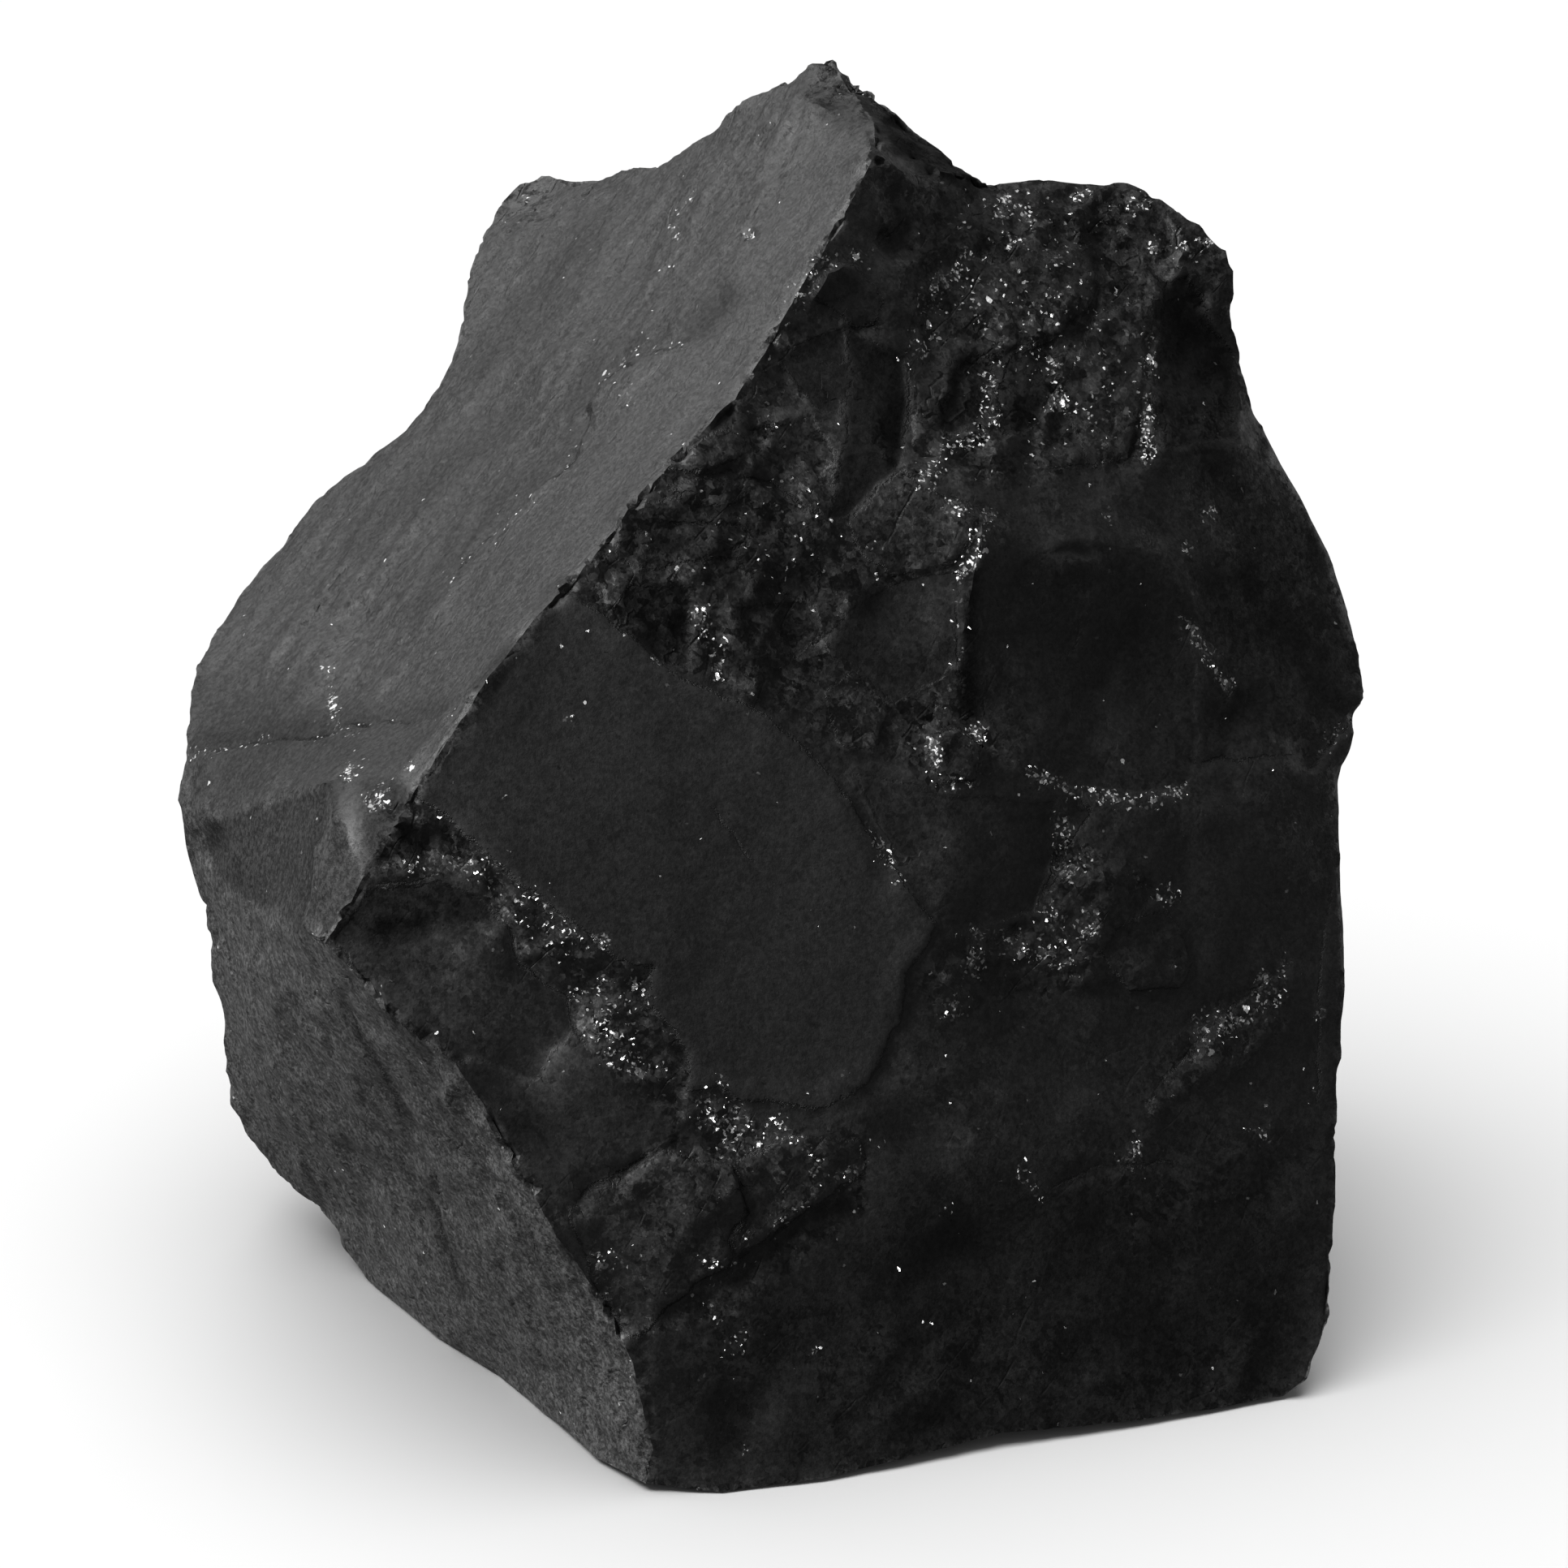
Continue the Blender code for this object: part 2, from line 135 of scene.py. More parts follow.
# Each random pattern starts from its own number, so every run gives the same stone.
seeds = {
    "wobble": (5, 25), "scoops": (11, 31, 51), "swell": 3, "folds": 131, "grain": 71,
    "chips": (91, 92), "jitter": 77, "rough": 61, "patch": 101, "mottle": 111, "crease": 121,
}

# How rough each kind of break is, from 0 for a parting plane to 1 for rubble.
roughness = {
    "front": 0.17, "left": 0.2, "far": 0.42, "ridge": 0.42,
    "frontFacing": (0.55, 0.8), "leftFacing": (0.35, 0.6),      # where a face counts as one
    "slowRange": (-0.25, 0.35), "slowShare": (0.6, 0.8),        # slow changes over the stone
    "areaEdge": 0.5,            # mm, the softness of a rough area's border
    "ridgeAbove": 0.02,         # parting planes smoother than this keep their ridges clean
}


def smoothStep(values, low, high):
    # 3t^2 - 2t^3, with t running from 0 at low to 1 at high.
    t = np.clip((values - low) / (high - low), 0.0, 1.0)
    return t * t * (3.0 - 2.0 * t)


def scatter(cells, seed):
    # Three even random numbers from 0 to 1 for each whole-number cell, by integer mixing.
    x, y, z = (cells.astype(np.int64).astype(np.uint64) * np.uint64(2654435761)).T
    mixed = x * np.uint64(73856093) ^ y * np.uint64(19349663) ^ z * np.uint64(83492791)
    mixed = mixed + np.uint64(seed * 7919 + 17)
    out = []
    for _ in range(3):
        mixed = (mixed ^ (mixed >> np.uint64(31))) * np.uint64(0x9E3779B97F4A7C15)
        mixed = mixed ^ (mixed >> np.uint64(29))
        out.append((mixed >> np.uint64(40)).astype(float) / float(1 << 24))
    return np.stack(out, axis=1)


def gradientNoise(points, size, seed):
    # Blend, over a cell's 8 corners, of (random slope . offset), weights 6t^5-15t^4+10t^3.
    p = points / size
    cell = np.floor(p)
    part = p - cell
    blend = part ** 3 * (part * (part * 6.0 - 15.0) + 10.0)
    total = np.zeros(len(p))
    for corner in itertools.product((0, 1), repeat=3):
        side = np.array(corner)
        slope = scatter(cell + side, seed) * 2.0 - 1.0
        weight = np.prod(np.where(side == 1, blend, 1.0 - blend), axis=1)
        total += weight * np.sum(slope * (part - side), axis=1)
    return total


def layeredNoise(points, size, seed, layers=3):
    # Sum of gradient noises, each at half the size and half the height of the last.
    return sum(gradientNoise(points, size / 2 ** i, seed + i) / 2 ** i for i in range(layers))


def alongFabric(points, stretch):
    # P - (1 - 1 / stretch) (P . D) D: patterns come out stretched along the fabric D.
    way = np.array(stone["fabric"])
    return points - (1.0 - 1.0 / stretch) * (points @ way)[:, None] * way


def scoops(points, size, seed):
    # Shell-shaped breaks: the lowest, over nearby random seeds, of slope . d + d . d / 2,
    # with d = P - seed. Also how near the next one is, and the winner's own random number.
    p = points / size
    cell = np.floor(p)
    low = np.full(len(p), 9.0)
    second = np.full(len(p), 9.0)
    own = np.zeros(len(p))
    for step in itertools.product((-1, 0, 1), repeat=3):
        at = cell + np.array(step)
        away = p - at - 0.15 - 0.7 * scatter(at, seed)
        slopes = scatter(at, seed + 1)
        bowl = 0.7 * np.sum((slopes - 0.5) * away, axis=1) + 0.5 * np.sum(away ** 2, axis=1)
        closer = bowl < low
        second = np.where(closer, low, np.minimum(second, bowl))
        own = np.where(closer, slopes[:, 0], own)
        low = np.where(closer, bowl, low)
    return low, second - low, own


def readNode(name):
    # The CAD node's corner points in mm, welded, and its triangles.
    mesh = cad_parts[name].data
    mesh.calc_loop_triangles()
    spots = np.empty(len(mesh.vertices) * 3)
    mesh.vertices.foreach_get("co", spots)
    faces = np.empty(len(mesh.loop_triangles) * 3, dtype=np.int32)
    mesh.loop_triangles.foreach_get("vertices", faces)
    spots = spots.reshape(-1, 3) / metresPerMm
    _, first, number = np.unique(np.round(spots * 1000.0).astype(np.int64), axis=0,
                                 return_index=True, return_inverse=True)
    faces = number.reshape(-1)[faces].reshape(-1, 3)
    proper = (faces[:, 0] != faces[:, 1]) & (faces[:, 1] != faces[:, 2]) & (faces[:, 2] != faces[:, 0])
    return spots[first], faces[proper]


def faceNormals(points, faces):
    # (B - A) x (C - A): as long as twice the triangle's area.
    a, b, c = (points[faces[:, i]] for i in range(3))
    return np.cross(b - a, c - a)


def unit(vectors):
    # V / |V|, row by row.
    return vectors / np.maximum(np.linalg.norm(vectors, axis=1, keepdims=True), 1e-12)


def gather(places, values, count):
    # Sum of the values that fall on each place.
    return np.stack([np.bincount(places, values[:, i], count) for i in range(values.shape[1])],
                    axis=1)


def pointNormals(points, faces):
    # The sum of the normals of the faces round a point, each weighted by its area.
    normals = faceNormals(points, faces)
    total = sum(gather(faces[:, i], normals, len(points)) for i in range(3))
    return unit(total)


def edgeTable(faces):
    # Each edge once, as sorted point pairs, and the edge numbers of every face's AB, BC, CA.
    pairs = np.stack((faces, np.roll(faces, -1, axis=1)), axis=2).reshape(-1, 2)
    edges, number = np.unique(np.sort(pairs, axis=1), axis=0, return_inverse=True)
    return edges, number.reshape(-1, 3)


def ridgeEdges(points, faces, edges, edgeOf):
    # Bend across an edge from |n1 + n2| = 2 cos(bend / 2).
    normals = unit(faceNormals(points, faces))
    both = gather(edgeOf.reshape(-1), np.repeat(normals, 3, axis=0), len(edges))
    bend = 2.0 * np.degrees(np.arccos(np.clip(np.linalg.norm(both, axis=1) / 2.0, 0.0, 1.0)))
    crisp = bend > stone["crispAngle"]

    # group linked crisp edges, and drop a group that spans less than ridgeReach
    ends = edges[crisp]
    group = np.arange(len(points))
    for _ in range(stone["groupRounds"]):
        lower = np.minimum(group[ends[:, 0]], group[ends[:, 1]])
        np.minimum.at(group, ends[:, 0], lower)
        np.minimum.at(group, ends[:, 1], lower)
    top = np.full((len(points), 3), -np.inf)
    bottom = np.full((len(points), 3), np.inf)
    for side in (0, 1):
        np.maximum.at(top, group[ends[:, side]], points[ends[:, side]])
        np.minimum.at(bottom, group[ends[:, side]], points[ends[:, side]])
    reach = np.linalg.norm(np.where(np.isfinite(top), top - bottom, 0.0), axis=1)
    crisp[crisp] = reach[group[ends[:, 0]]] > stone["ridgeReach"]
    return crisp


def refine(points, faces, cuts):
    # P(u, v) = A + u (B - A) + v (C - A) on a grid of u, v = 0, 1/cuts ... 1, u + v <= 1.
    # Points on shared edges and corners are made once, so the skin stays closed.
    edges, edgeOf = edgeTable(faces)
    crisp = ridgeEdges(points, faces, edges, edgeOf)
    inner = cuts - 1
    share = (np.arange(1, cuts) / cuts)[None, :, None]
    start, end = points[edges[:, 0]][:, None], points[edges[:, 1]][:, None]
    alongEdges = (start + share * (end - start)).reshape(-1, 3)
    grid = [(i, j) for i in range(1, cuts) for j in range(1, cuts - i)]
    u, v = (np.array(side)[None, :, None] / cuts for side in zip(*grid))
    a, b, c = (points[faces[:, i]][:, None] for i in range(3))
    inside = (a + u * (b - a) + v * (c - a)).reshape(-1, 3)
    allPoints = np.concatenate((points, alongEdges, inside))

    table = np.zeros((len(faces), cuts + 1, cuts + 1), dtype=np.int64)
    table[:, 0, 0], table[:, cuts, 0], table[:, 0, cuts] = faces.T
    steps = np.arange(1, cuts)
    sides = ((0, 1, steps, 0 * steps), (1, 2, cuts - steps, steps), (2, 0, 0 * steps, cuts - steps))
    for side, (tail, head, rows, columns) in enumerate(sides):
        forward = faces[:, tail] < faces[:, head]
        place = np.where(forward[:, None], steps - 1, inner - steps)
        table[:, rows, columns] = len(points) + edgeOf[:, side, None] * inner + place
    rows, columns = (np.array(side) for side in zip(*grid))
    firstInside = len(points) + len(edges) * inner
    table[:, rows, columns] = (firstInside + np.arange(len(faces))[:, None] * len(grid)
                               + np.arange(len(grid)))

    small = []
    for i in range(cuts):
        for j in range(cuts - i):
            small.append(table[:, [i, i + 1, i], [j, j, j + 1]])
            if i + j < cuts - 1:
                small.append(table[:, [i + 1, i + 1, i], [j, j + 1, j + 1]])
    held = np.zeros(len(allPoints), dtype=bool)
    held[edges[crisp].reshape(-1)] = True
    onCrisp = (len(points) + np.nonzero(crisp)[0][:, None] * inner + np.arange(inner)).reshape(-1)
    held[onCrisp] = True
    return allPoints, np.concatenate(small), held


class Web:
    # The fine skin's edges, for averaging over neighbours.
    def __init__(self, faces, count):
        self.edges, _ = edgeTable(faces)
        self.count = count
        ends = self.edges.reshape(-1)
        self.share = 1.0 / np.maximum(np.bincount(ends, minlength=count), 1)

    def average(self, values):
        # Mean over the neighbours of each point.
        columns = values.reshape(self.count, -1)
        a, b = self.edges.T
        total = gather(a, columns[b], self.count) + gather(b, columns[a], self.count)
        return (total * self.share[:, None]).reshape(values.shape)

    def spread(self, values, rounds):
        # Half the value and half its neighbours' mean, again and again.
        for _ in range(rounds):
            values = 0.5 * values + 0.5 * self.average(values)
        return values


# Single flat breaks on the show side, as closed loops on the sight plane. Each has its rise
# in mm, its tilt to the right and up (mm per mm), its roughness and its paleness.
Plate = namedtuple("Plate", "rise tiltRight tiltUp rough pale loop")
plates = {
    "slab": Plate(0.12, 0.0, 0.0, 0.03, 1.3, [
        (-19.0, 0.2), (-13.6, 7.7), (-11.2, 9.9), (-9.0, 8.4), (-7.4, 7.0), (-5.4, 5.4),
        (-2.7, 4.2), (-1.3, 3.7), (0.6, 2.1), (2.6, 0.0), (4.4, -2.9), (5.9, -4.9), (7.6, -7.2),
        (6.0, -9.4), (5.6, -11.8), (4.2, -14.6), (1.8, -16.0), (-2.1, -15.6), (-3.3, -14.9),
        (-4.6, -15.1), (-4.6, -13.7), (-5.5, -12.0), (-6.9, -11.0), (-6.5, -9.1), (-8.4, -8.7),
        (-8.9, -7.7), (-10.8, -6.5), (-13.0, -4.8), (-14.5, -3.6)]),
    # painted shade: darker, as if turned further from the lamps
    "tall": Plate(-0.05, -0.05, 0.0, 0.1, 0.42, [
        (3.3, 22.5), (5.9, 21.0), (6.1, 18.6), (5.8, 15.9), (3.0, 13.2), (2.2, 12.9), (2.5, 14.5),
        (3.0, 17.5)]),
    "tallLeft": Plate(-0.06, -0.06, 0.02, 0.14, 0.6, [
        (-0.1, 21.4), (3.0, 22.5), (3.3, 19.6), (2.8, 18.2), (1.5, 18.6), (-0.1, 20.6)]),
    "lump": Plate(0.2, -0.05, 0.12, 0.12, 0.75, [
        (1.5, 24.7), (2.5, 25.6), (3.3, 25.6), (4.1, 24.7), (4.8, 23.9), (4.7, 22.8), (3.6, 22.6),
        (2.3, 23.4), (1.5, 23.8)]),
    "plate": Plate(0.07, 0.03, -0.04, 0.35, 1.05, [
        (3.1, 13.0), (5.7, 15.6), (6.8, 14.6), (9.4, 13.2), (9.4, 12.2), (8.2, 10.8), (5.4, 10.2),
        (3.8, 11.3)]),
    "underPlate": Plate(-0.05, -0.03, 0.0, 0.14, 0.85, [
        (2.0, 7.3), (4.1, 9.2), (6.6, 10.2), (8.6, 10.4), (8.7, 6.2), (7.4, 5.0), (5.4, 3.9),
        (3.8, 5.7), (2.2, 6.5)]),
    "mosaicA": Plate(0.07, 0.0, 0.04, 0.45, 0.9, [
        (-8.2, 13.5), (-5.4, 14.0), (-3.9, 13.2), (-1.7, 12.9), (-2.2, 11.6), (-4.2, 11.1),
        (-6.6, 10.5), (-8.2, 11.1)]),
    "mosaicB": Plate(-0.06, 0.06, 0.0, 0.55, 1.0, [
        (-1.7, 17.4), (1.5, 18.2), (2.6, 16.2), (2.2, 13.2), (0.2, 13.8), (-1.2, 14.8)]),
    "mosaicC": Plate(0.06, -0.05, 0.0, 0.45, 0.9, [
        (-2.0, 12.2), (1.2, 12.6), (1.8, 10.6), (1.5, 9.0), (-1.0, 9.7), (-2.3, 10.8)]),
    "mosaicD": Plate(-0.06, 0.04, -0.04, 0.5, 1.0, [
        (-2.0, 8.7), (1.5, 9.0), (1.8, 7.3), (0.6, 6.2), (-1.7, 6.6)]),
    "mosaicE": Plate(0.05, 0.05, -0.03, 0.5, 1.1, [
        (2.0, 4.6), (3.6, 5.4), (5.2, 3.6), (4.4, 1.6), (2.6, 2.0)]),
    "darkBelow": Plate(-0.1, -0.06, 0.0, 0.45, 0.75, [
        (-8.7, 8.6), (-7.4, 9.8), (-4.6, 9.7), (-4.6, 5.8), (-5.8, 6.0), (-7.4, 7.1)]),
    "ridgeBitA": Plate(0.12, 0.04, -0.12, 0.5, 1.0, [
        (-6.0, 15.8), (-3.0, 17.4), (-1.7, 17.0), (-2.6, 15.9), (-4.6, 15.4)]),
    "ridgeBitB": Plate(0.1, 0.0, -0.1, 0.5, 0.9, [
        (-5.8, 14.8), (-3.4, 15.1), (-1.7, 14.5), (-3.0, 13.7), (-5.0, 13.8)]),
    "topPlate": Plate(0.06, 0.03, -0.03, 0.55, 1.15, [
        (7.2, 26.0), (9.4, 26.2), (12.4, 25.6), (15.2, 26.8), (15.2, 23.6), (13.4, 22.2),
        (11.0, 21.4), (8.2, 20.8), (7.0, 22.8)]),
    "topFoot": Plate(0.05, 0.04, -0.02, 0.55, 1.1, [
        (6.4, 20.6), (8.6, 20.8), (8.0, 18.4), (6.4, 16.6)]),
    "darkNotch": Plate(-0.2, 0.0, 0.0, 0.4, 0.7, [
        (8.9, 20.9), (10.2, 20.9), (10.3, 18.6), (8.2, 17.0), (7.6, 18.6)]),
    "darkMid": Plate(-0.12, -0.06, 0.02, 0.4, 0.75, [
        (11.1, 21.0), (13.4, 22.0), (13.5, 19.3), (12.4, 17.7), (10.8, 17.0), (10.6, 19.4)]),
    "rightPlate": Plate(0.07, 0.04, -0.02, 0.5, 1.2, [
        (13.7, 19.3), (15.4, 23.2), (18.2, 24.0), (17.5, 18.6), (17.0, 16.2), (15.1, 15.6),
        (14.2, 17.7)]),
    "edgeDark": Plate(-0.15, -0.08, 0.0, 0.5, 0.75, [
        (18.8, 24.7), (19.9, 25.0), (22.2, 20.9), (22.2, 17.0), (18.8, 16.6)]),
    "scoop": Plate(-0.03, -0.01, 0.0, 0.2, 0.86, [
        (9.8, 8.2), (12.0, 11.0), (14.8, 12.0), (18.8, 11.0), (20.2, 8.2), (20.4, 1.2),
        (19.6, -0.5), (14.2, -0.1), (11.8, 0.3), (11.4, 1.7), (10.0, 3.4)]),
    "rightFar": Plate(0.0, 0.0, 0.0, 0.24, 0.9, [
        (20.6, 8.4), (19.4, 12.6), (20.6, 16.0), (26.0, 13.0), (28.4, 5.0), (27.0, 2.4),
        (20.6, 1.6)]),
    "besideSlab": Plate(-0.04, -0.02, 0.0, 0.14, 0.95, [
        (3.4, 0.6), (8.2, -0.6), (13.2, -1.0), (13.6, -3.0), (12.4, -6.2), (8.4, -7.4),
        (6.4, -5.2)]),
    "block": Plate(0.25, 0.0, 0.05, 0.4, 0.8, [
        (7.1, 2.3), (7.2, 0.8), (8.0, 0.0), (9.4, 0.2), (9.6, 2.0), (8.4, 2.8)]),
    "dome": Plate(0.1, 0.03, -0.05, 0.25, 0.95, [
        (15.5, -8.4), (16.4, -7.1), (17.6, -6.4), (18.8, -6.2), (19.6, -7.1), (20.2, -8.8),
        (19.5, -10.0), (17.0, -10.2)]),
    "chinFace": Plate(-0.05, 0.0, 0.0, 0.16, 0.5, [
        (-22.2, -7.6), (-20.4, -5.2), (-17.0, -4.8), (-14.9, -5.8), (-13.4, -7.4), (-13.0, -9.0),
        (-10.8, -10.6), (-10.4, -12.0), (-12.2, -14.4), (-15.6, -13.4), (-16.2, -13.9),
        (-19.6, -11.4)]),
    "chinLow": Plate(0.0, 0.0, 0.0, 0.14, 0.7, [
        (-15.8, -13.8), (-12.2, -14.4), (-10.2, -12.2), (-9.2, -13.6), (-6.9, -15.6),
        (-5.8, -17.6), (-8.0, -19.0), (-10.4, -20.8), (-12.6, -20.0)]),
    "lowBlock": Plate(0.16, 0.03, 0.02, 0.4, 1.0, [
        (-10.6, -21.1), (-9.1, -19.5), (-7.9, -19.2), (-6.0, -18.2), (-4.1, -18.7), (-2.6, -18.8),
        (-2.1, -20.2), (-1.7, -21.2), (-2.9, -23.8), (-4.4, -24.8), (-7.4, -27.4),
        (-9.4, -24.6)]),
    "lowStep": Plate(0.08, 0.02, -0.04, 0.5, 1.1, [
        (-2.0, -21.0), (-2.4, -18.8), (0.4, -17.4), (3.8, -17.6), (4.0, -19.2), (1.4, -20.9),
        (-1.0, -22.6), (-2.6, -23.4)]),
    # painted shade: darker, as if turned further from the lamps
    "hollowFace": Plate(-0.06, 0.0, 0.0, 0.12, 0.5, [
        (-28.6, -1.9), (-22.6, -0.2), (-23.2, -4.0), (-23.7, -7.2), (-26.8, -5.6),
        (-28.8, -3.4)]),
    "sliver": Plate(0.0, 0.0, 0.0, 0.1, 0.62, [
        (-22.1, -1.9), (-20.6, -4.9), (-22.5, -7.4), (-23.4, -6.4)]),
    "ridgeBand": Plate(0.0, 0.0, 0.0, 0.05, 1.0, [
        (3.8, 30.0), (0.4, 25.0), (-3.8, 18.2), (-8.6, 12.8), (-13.6, 6.6), (-17.6, 1.2),
        (-20.6, 3.0), (-16.6, 8.6), (-12.4, 13.6), (-8.4, 18.6), (-5.0, 21.6), (-2.9, 23.6),
        (-1.4, 27.0), (1.8, 30.6)]),
}

# Paler and darker stretches without an edge, some of them painted light and shade: (paleness, fade in
# mm, closed loop).
stretches = {
    "lowLeft": (0.7, 2.2, [
        (-30.0, 6.0), (-25.0, 5.2), (-20.0, 3.0), (-16.4, 3.6), (-17.6, 0.4), (-20.4, -1.0),
        (-23.0, 0.2), (-30.0, -2.6)]),
    "skyUp": (0.94, 3.0, [
        (-8.6, 22.0), (-16.6, 12.0), (-24.0, 8.0), (-28.0, 14.0), (-16.0, 31.0), (-6.0, 31.0)]),
    "rubble": (0.8, 1.5, [
        (-7.6, 12.6), (-2.4, 18.6), (1.4, 14.0), (1.8, 5.4), (-4.4, 5.6), (-8.6, 8.4)]),
    "topRight": (0.78, 2.0, [
        (6.2, 28.6), (15.0, 29.4), (22.4, 25.0), (23.0, 15.0), (8.0, 14.0), (6.0, 22.0)]),
    "cap": (0.65, 0.8, [(0.8, 34.6), (2.6, 32.2), (4.4, 32.0), (6.6, 31.2), (4.8, 35.0)]),
    "underFace": (1.2, 2.0, [
        (-30.0, -6.0), (-23.0, -7.4), (-12.0, -17.0), (-5.0, -33.0), (-12.0, -34.0),
        (-30.0, -14.0)]),
    "lowFace": (1.8, 1.6, [
        (-13.4, -13.0), (-10.8, -10.8), (-8.6, -14.6), (-4.4, -18.6), (-7.4, -25.4),
        (-11.0, -21.4)]),
    # painted light on a hollow that lies in the key lamp's shadow
    "chinPaintedLight": (2.8, 1.2, [
        (-16.6, -7.4), (-14.0, -6.6), (-12.6, -8.6), (-10.4, -10.2), (-10.0, -12.4),
        (-11.6, -15.4), (-14.2, -15.4), (-16.8, -12.0)]),
    "peakFoot": (1.5, 0.6, [(2.6, 28.2), (3.8, 28.8), (4.2, 26.6), (3.2, 25.8), (2.2, 26.6)]),
    "foot": (0.66, 3.0, [
        (5.0, -18.6), (26.0, -18.0), (26.0, -34.0), (-4.0, -36.0), (-3.6, -26.0)]),
    # painted shade on a slope that the lamps light hard
    "peakSlopeShade": (0.35, 0.5, [(4.0, 35.0), (6.2, 34.0), (10.6, 29.6), (8.6, 29.2), (5.2, 31.4)]),
    "ridgeFoot": (0.6, 0.6, [(-20.8, 0.2), (-18.6, 0.0), (-18.2, -3.4), (-20.6, -4.6)]),
    "ridgeChipA": (0.45, 0.35, [
        (-15.4, 4.8), (-14.2, 6.4), (-13.2, 7.2), (-12.8, 6.4), (-13.9, 5.0), (-14.9, 4.0)]),
    "ridgeChipB": (0.6, 0.3, [
        (-12.6, 8.2), (-11.6, 9.6), (-10.8, 10.2), (-10.8, 9.4), (-11.9, 8.2)]),
    "farRight": (0.8, 2.0, [(21.0, 16.0), (26.0, 13.0), (29.0, 4.0), (21.0, 2.0)]),
}

# Painted shade: soft dark lines along steps, folds and furrows, and one pale line along the lower left
# ridge: (paleness, half width in mm, path).
shadeLines = [
    (0.8, 0.7, [
        (-2.9, 24.4), (-5.0, 22.4), (-7.9, 21.4), (-9.8, 20.2), (-11.0, 16.4), (-13.8, 14.2),
        (-17.0, 10.8), (-18.0, 8.4)]),
    (0.75, 0.5, [(-3.9, 22.3), (-3.2, 23.4), (-2.5, 24.1)]),
    (0.8, 0.6, [(-16.4, 3.9), (-19.8, 3.6), (-23.6, 2.8), (-29.4, 1.9)]),
    (0.85, 0.8, [(-9.4, 27.2), (-12.2, 24.0), (-15.0, 20.4)]),
    (0.85, 1.0, [(-13.6, 18.4), (-17.6, 14.6), (-21.2, 11.8)]),
    (0.7, 0.5, [(-22.3, -0.4), (-23.0, -3.6), (-23.6, -7.0)]),
    (0.5, 0.3, [(-22.1, -10.3), (-19.7, -14.4), (-18.4, -16.8)]),
    (0.5, 0.3, [(-17.7, -19.7), (-16.7, -22.4), (-15.8, -25.2)]),
    (0.55, 0.25, [(-13.4, -20.4), (-11.7, -24.2)]),
    (0.6, 0.25, [(-18.4, -14.0), (-16.0, -17.0), (-14.4, -19.6)]),
    (0.6, 0.2, [(-20.4, -10.6), (-18.4, -12.6), (-16.8, -14.8)]),
    (0.6, 0.2, [(-12.4, -19.4), (-11.0, -22.4), (-9.8, -25.4)]),
    (0.4, 0.7, [(9.0, 10.6), (9.0, 6.2), (9.4, 3.4)]),
    (1.25, 1.1, [(-22.6, -9.8), (-18.9, -13.2), (-14.8, -17.4), (-10.6, -24.0), (-8.4, -29.5)]),
]

# Rubbly breaks, as closed loops: their roughness.
roughAreas = {
    "top": (0.9, [
        (4.9, 30.6), (10.4, 28.8), (18.6, 27.6), (18.8, 16.4), (11.4, 14.6), (6.5, 15.0),
        (6.4, 22.0), (4.9, 27.0)]),
    "rim": (0.75, [
        (10.0, 29.6), (17.4, 29.4), (21.8, 26.0), (22.0, 22.4), (19.4, 23.6), (17.0, 26.6),
        (11.0, 27.4)]),
    "underRidge": (0.58, [
        (2.6, 25.4), (-0.2, 22.6), (-3.4, 17.0), (-7.4, 13.0), (-11.0, 9.2), (-9.0, 8.6),
        (-3.8, 5.4), (-0.2, 3.0), (3.0, 6.6), (8.2, 7.0), (9.0, 13.0), (2.6, 13.0), (1.4, 19.4)]),
    "middle": (0.55, [(3.0, 6.6), (8.6, 6.4), (9.8, 3.0), (13.0, 0.4), (6.6, 0.8), (0.8, 2.8)]),
    "slabFoot": (0.8, [
        (-14.5, -3.6), (-13.0, -4.8), (-10.8, -6.5), (-8.9, -7.7), (-8.4, -8.7), (-6.5, -9.1),
        (-6.9, -11.0), (-5.5, -12.0), (-4.6, -13.7), (-4.6, -15.1), (-3.3, -14.9), (-2.1, -15.6),
        (-0.9, -17.3), (-4.1, -18.7), (-5.6, -18.3), (-5.5, -16.8), (-6.9, -15.4), (-8.1, -14.4),
        (-9.3, -13.4), (-10.3, -11.8), (-10.6, -10.3), (-13.0, -8.9), (-13.4, -7.2),
        (-14.8, -5.6)]),
    "ridgeFoot": (0.9, [
        (-18.4, -0.6), (-20.6, -1.8), (-19.8, -4.2), (-17.4, -4.6), (-14.6, -3.8)]),
    "ledges": (0.6, [
        (-10.6, -21.4), (-4.2, -17.4), (3.8, -17.0), (4.2, -20.8), (-2.6, -26.4), (-8.2, -27.4)]),
    "rightBreak": (0.8, [
        (12.6, -2.0), (15.2, -3.0), (19.6, -5.6), (17.0, -9.6), (12.2, -10.6), (8.4, -11.4),
        (6.2, -9.8), (8.0, -8.0), (12.6, -6.6), (13.8, -4.6)]),
    "farCluster": (0.6, [
        (20.6, -10.8), (25.0, -9.0), (24.6, -12.6), (18.0, -17.0), (17.6, -15.0)]),
    "peak": (0.7, [(1.2, 33.9), (2.2, 35.8), (4.9, 33.9), (8.6, 30.6), (4.6, 32.6)]),
}

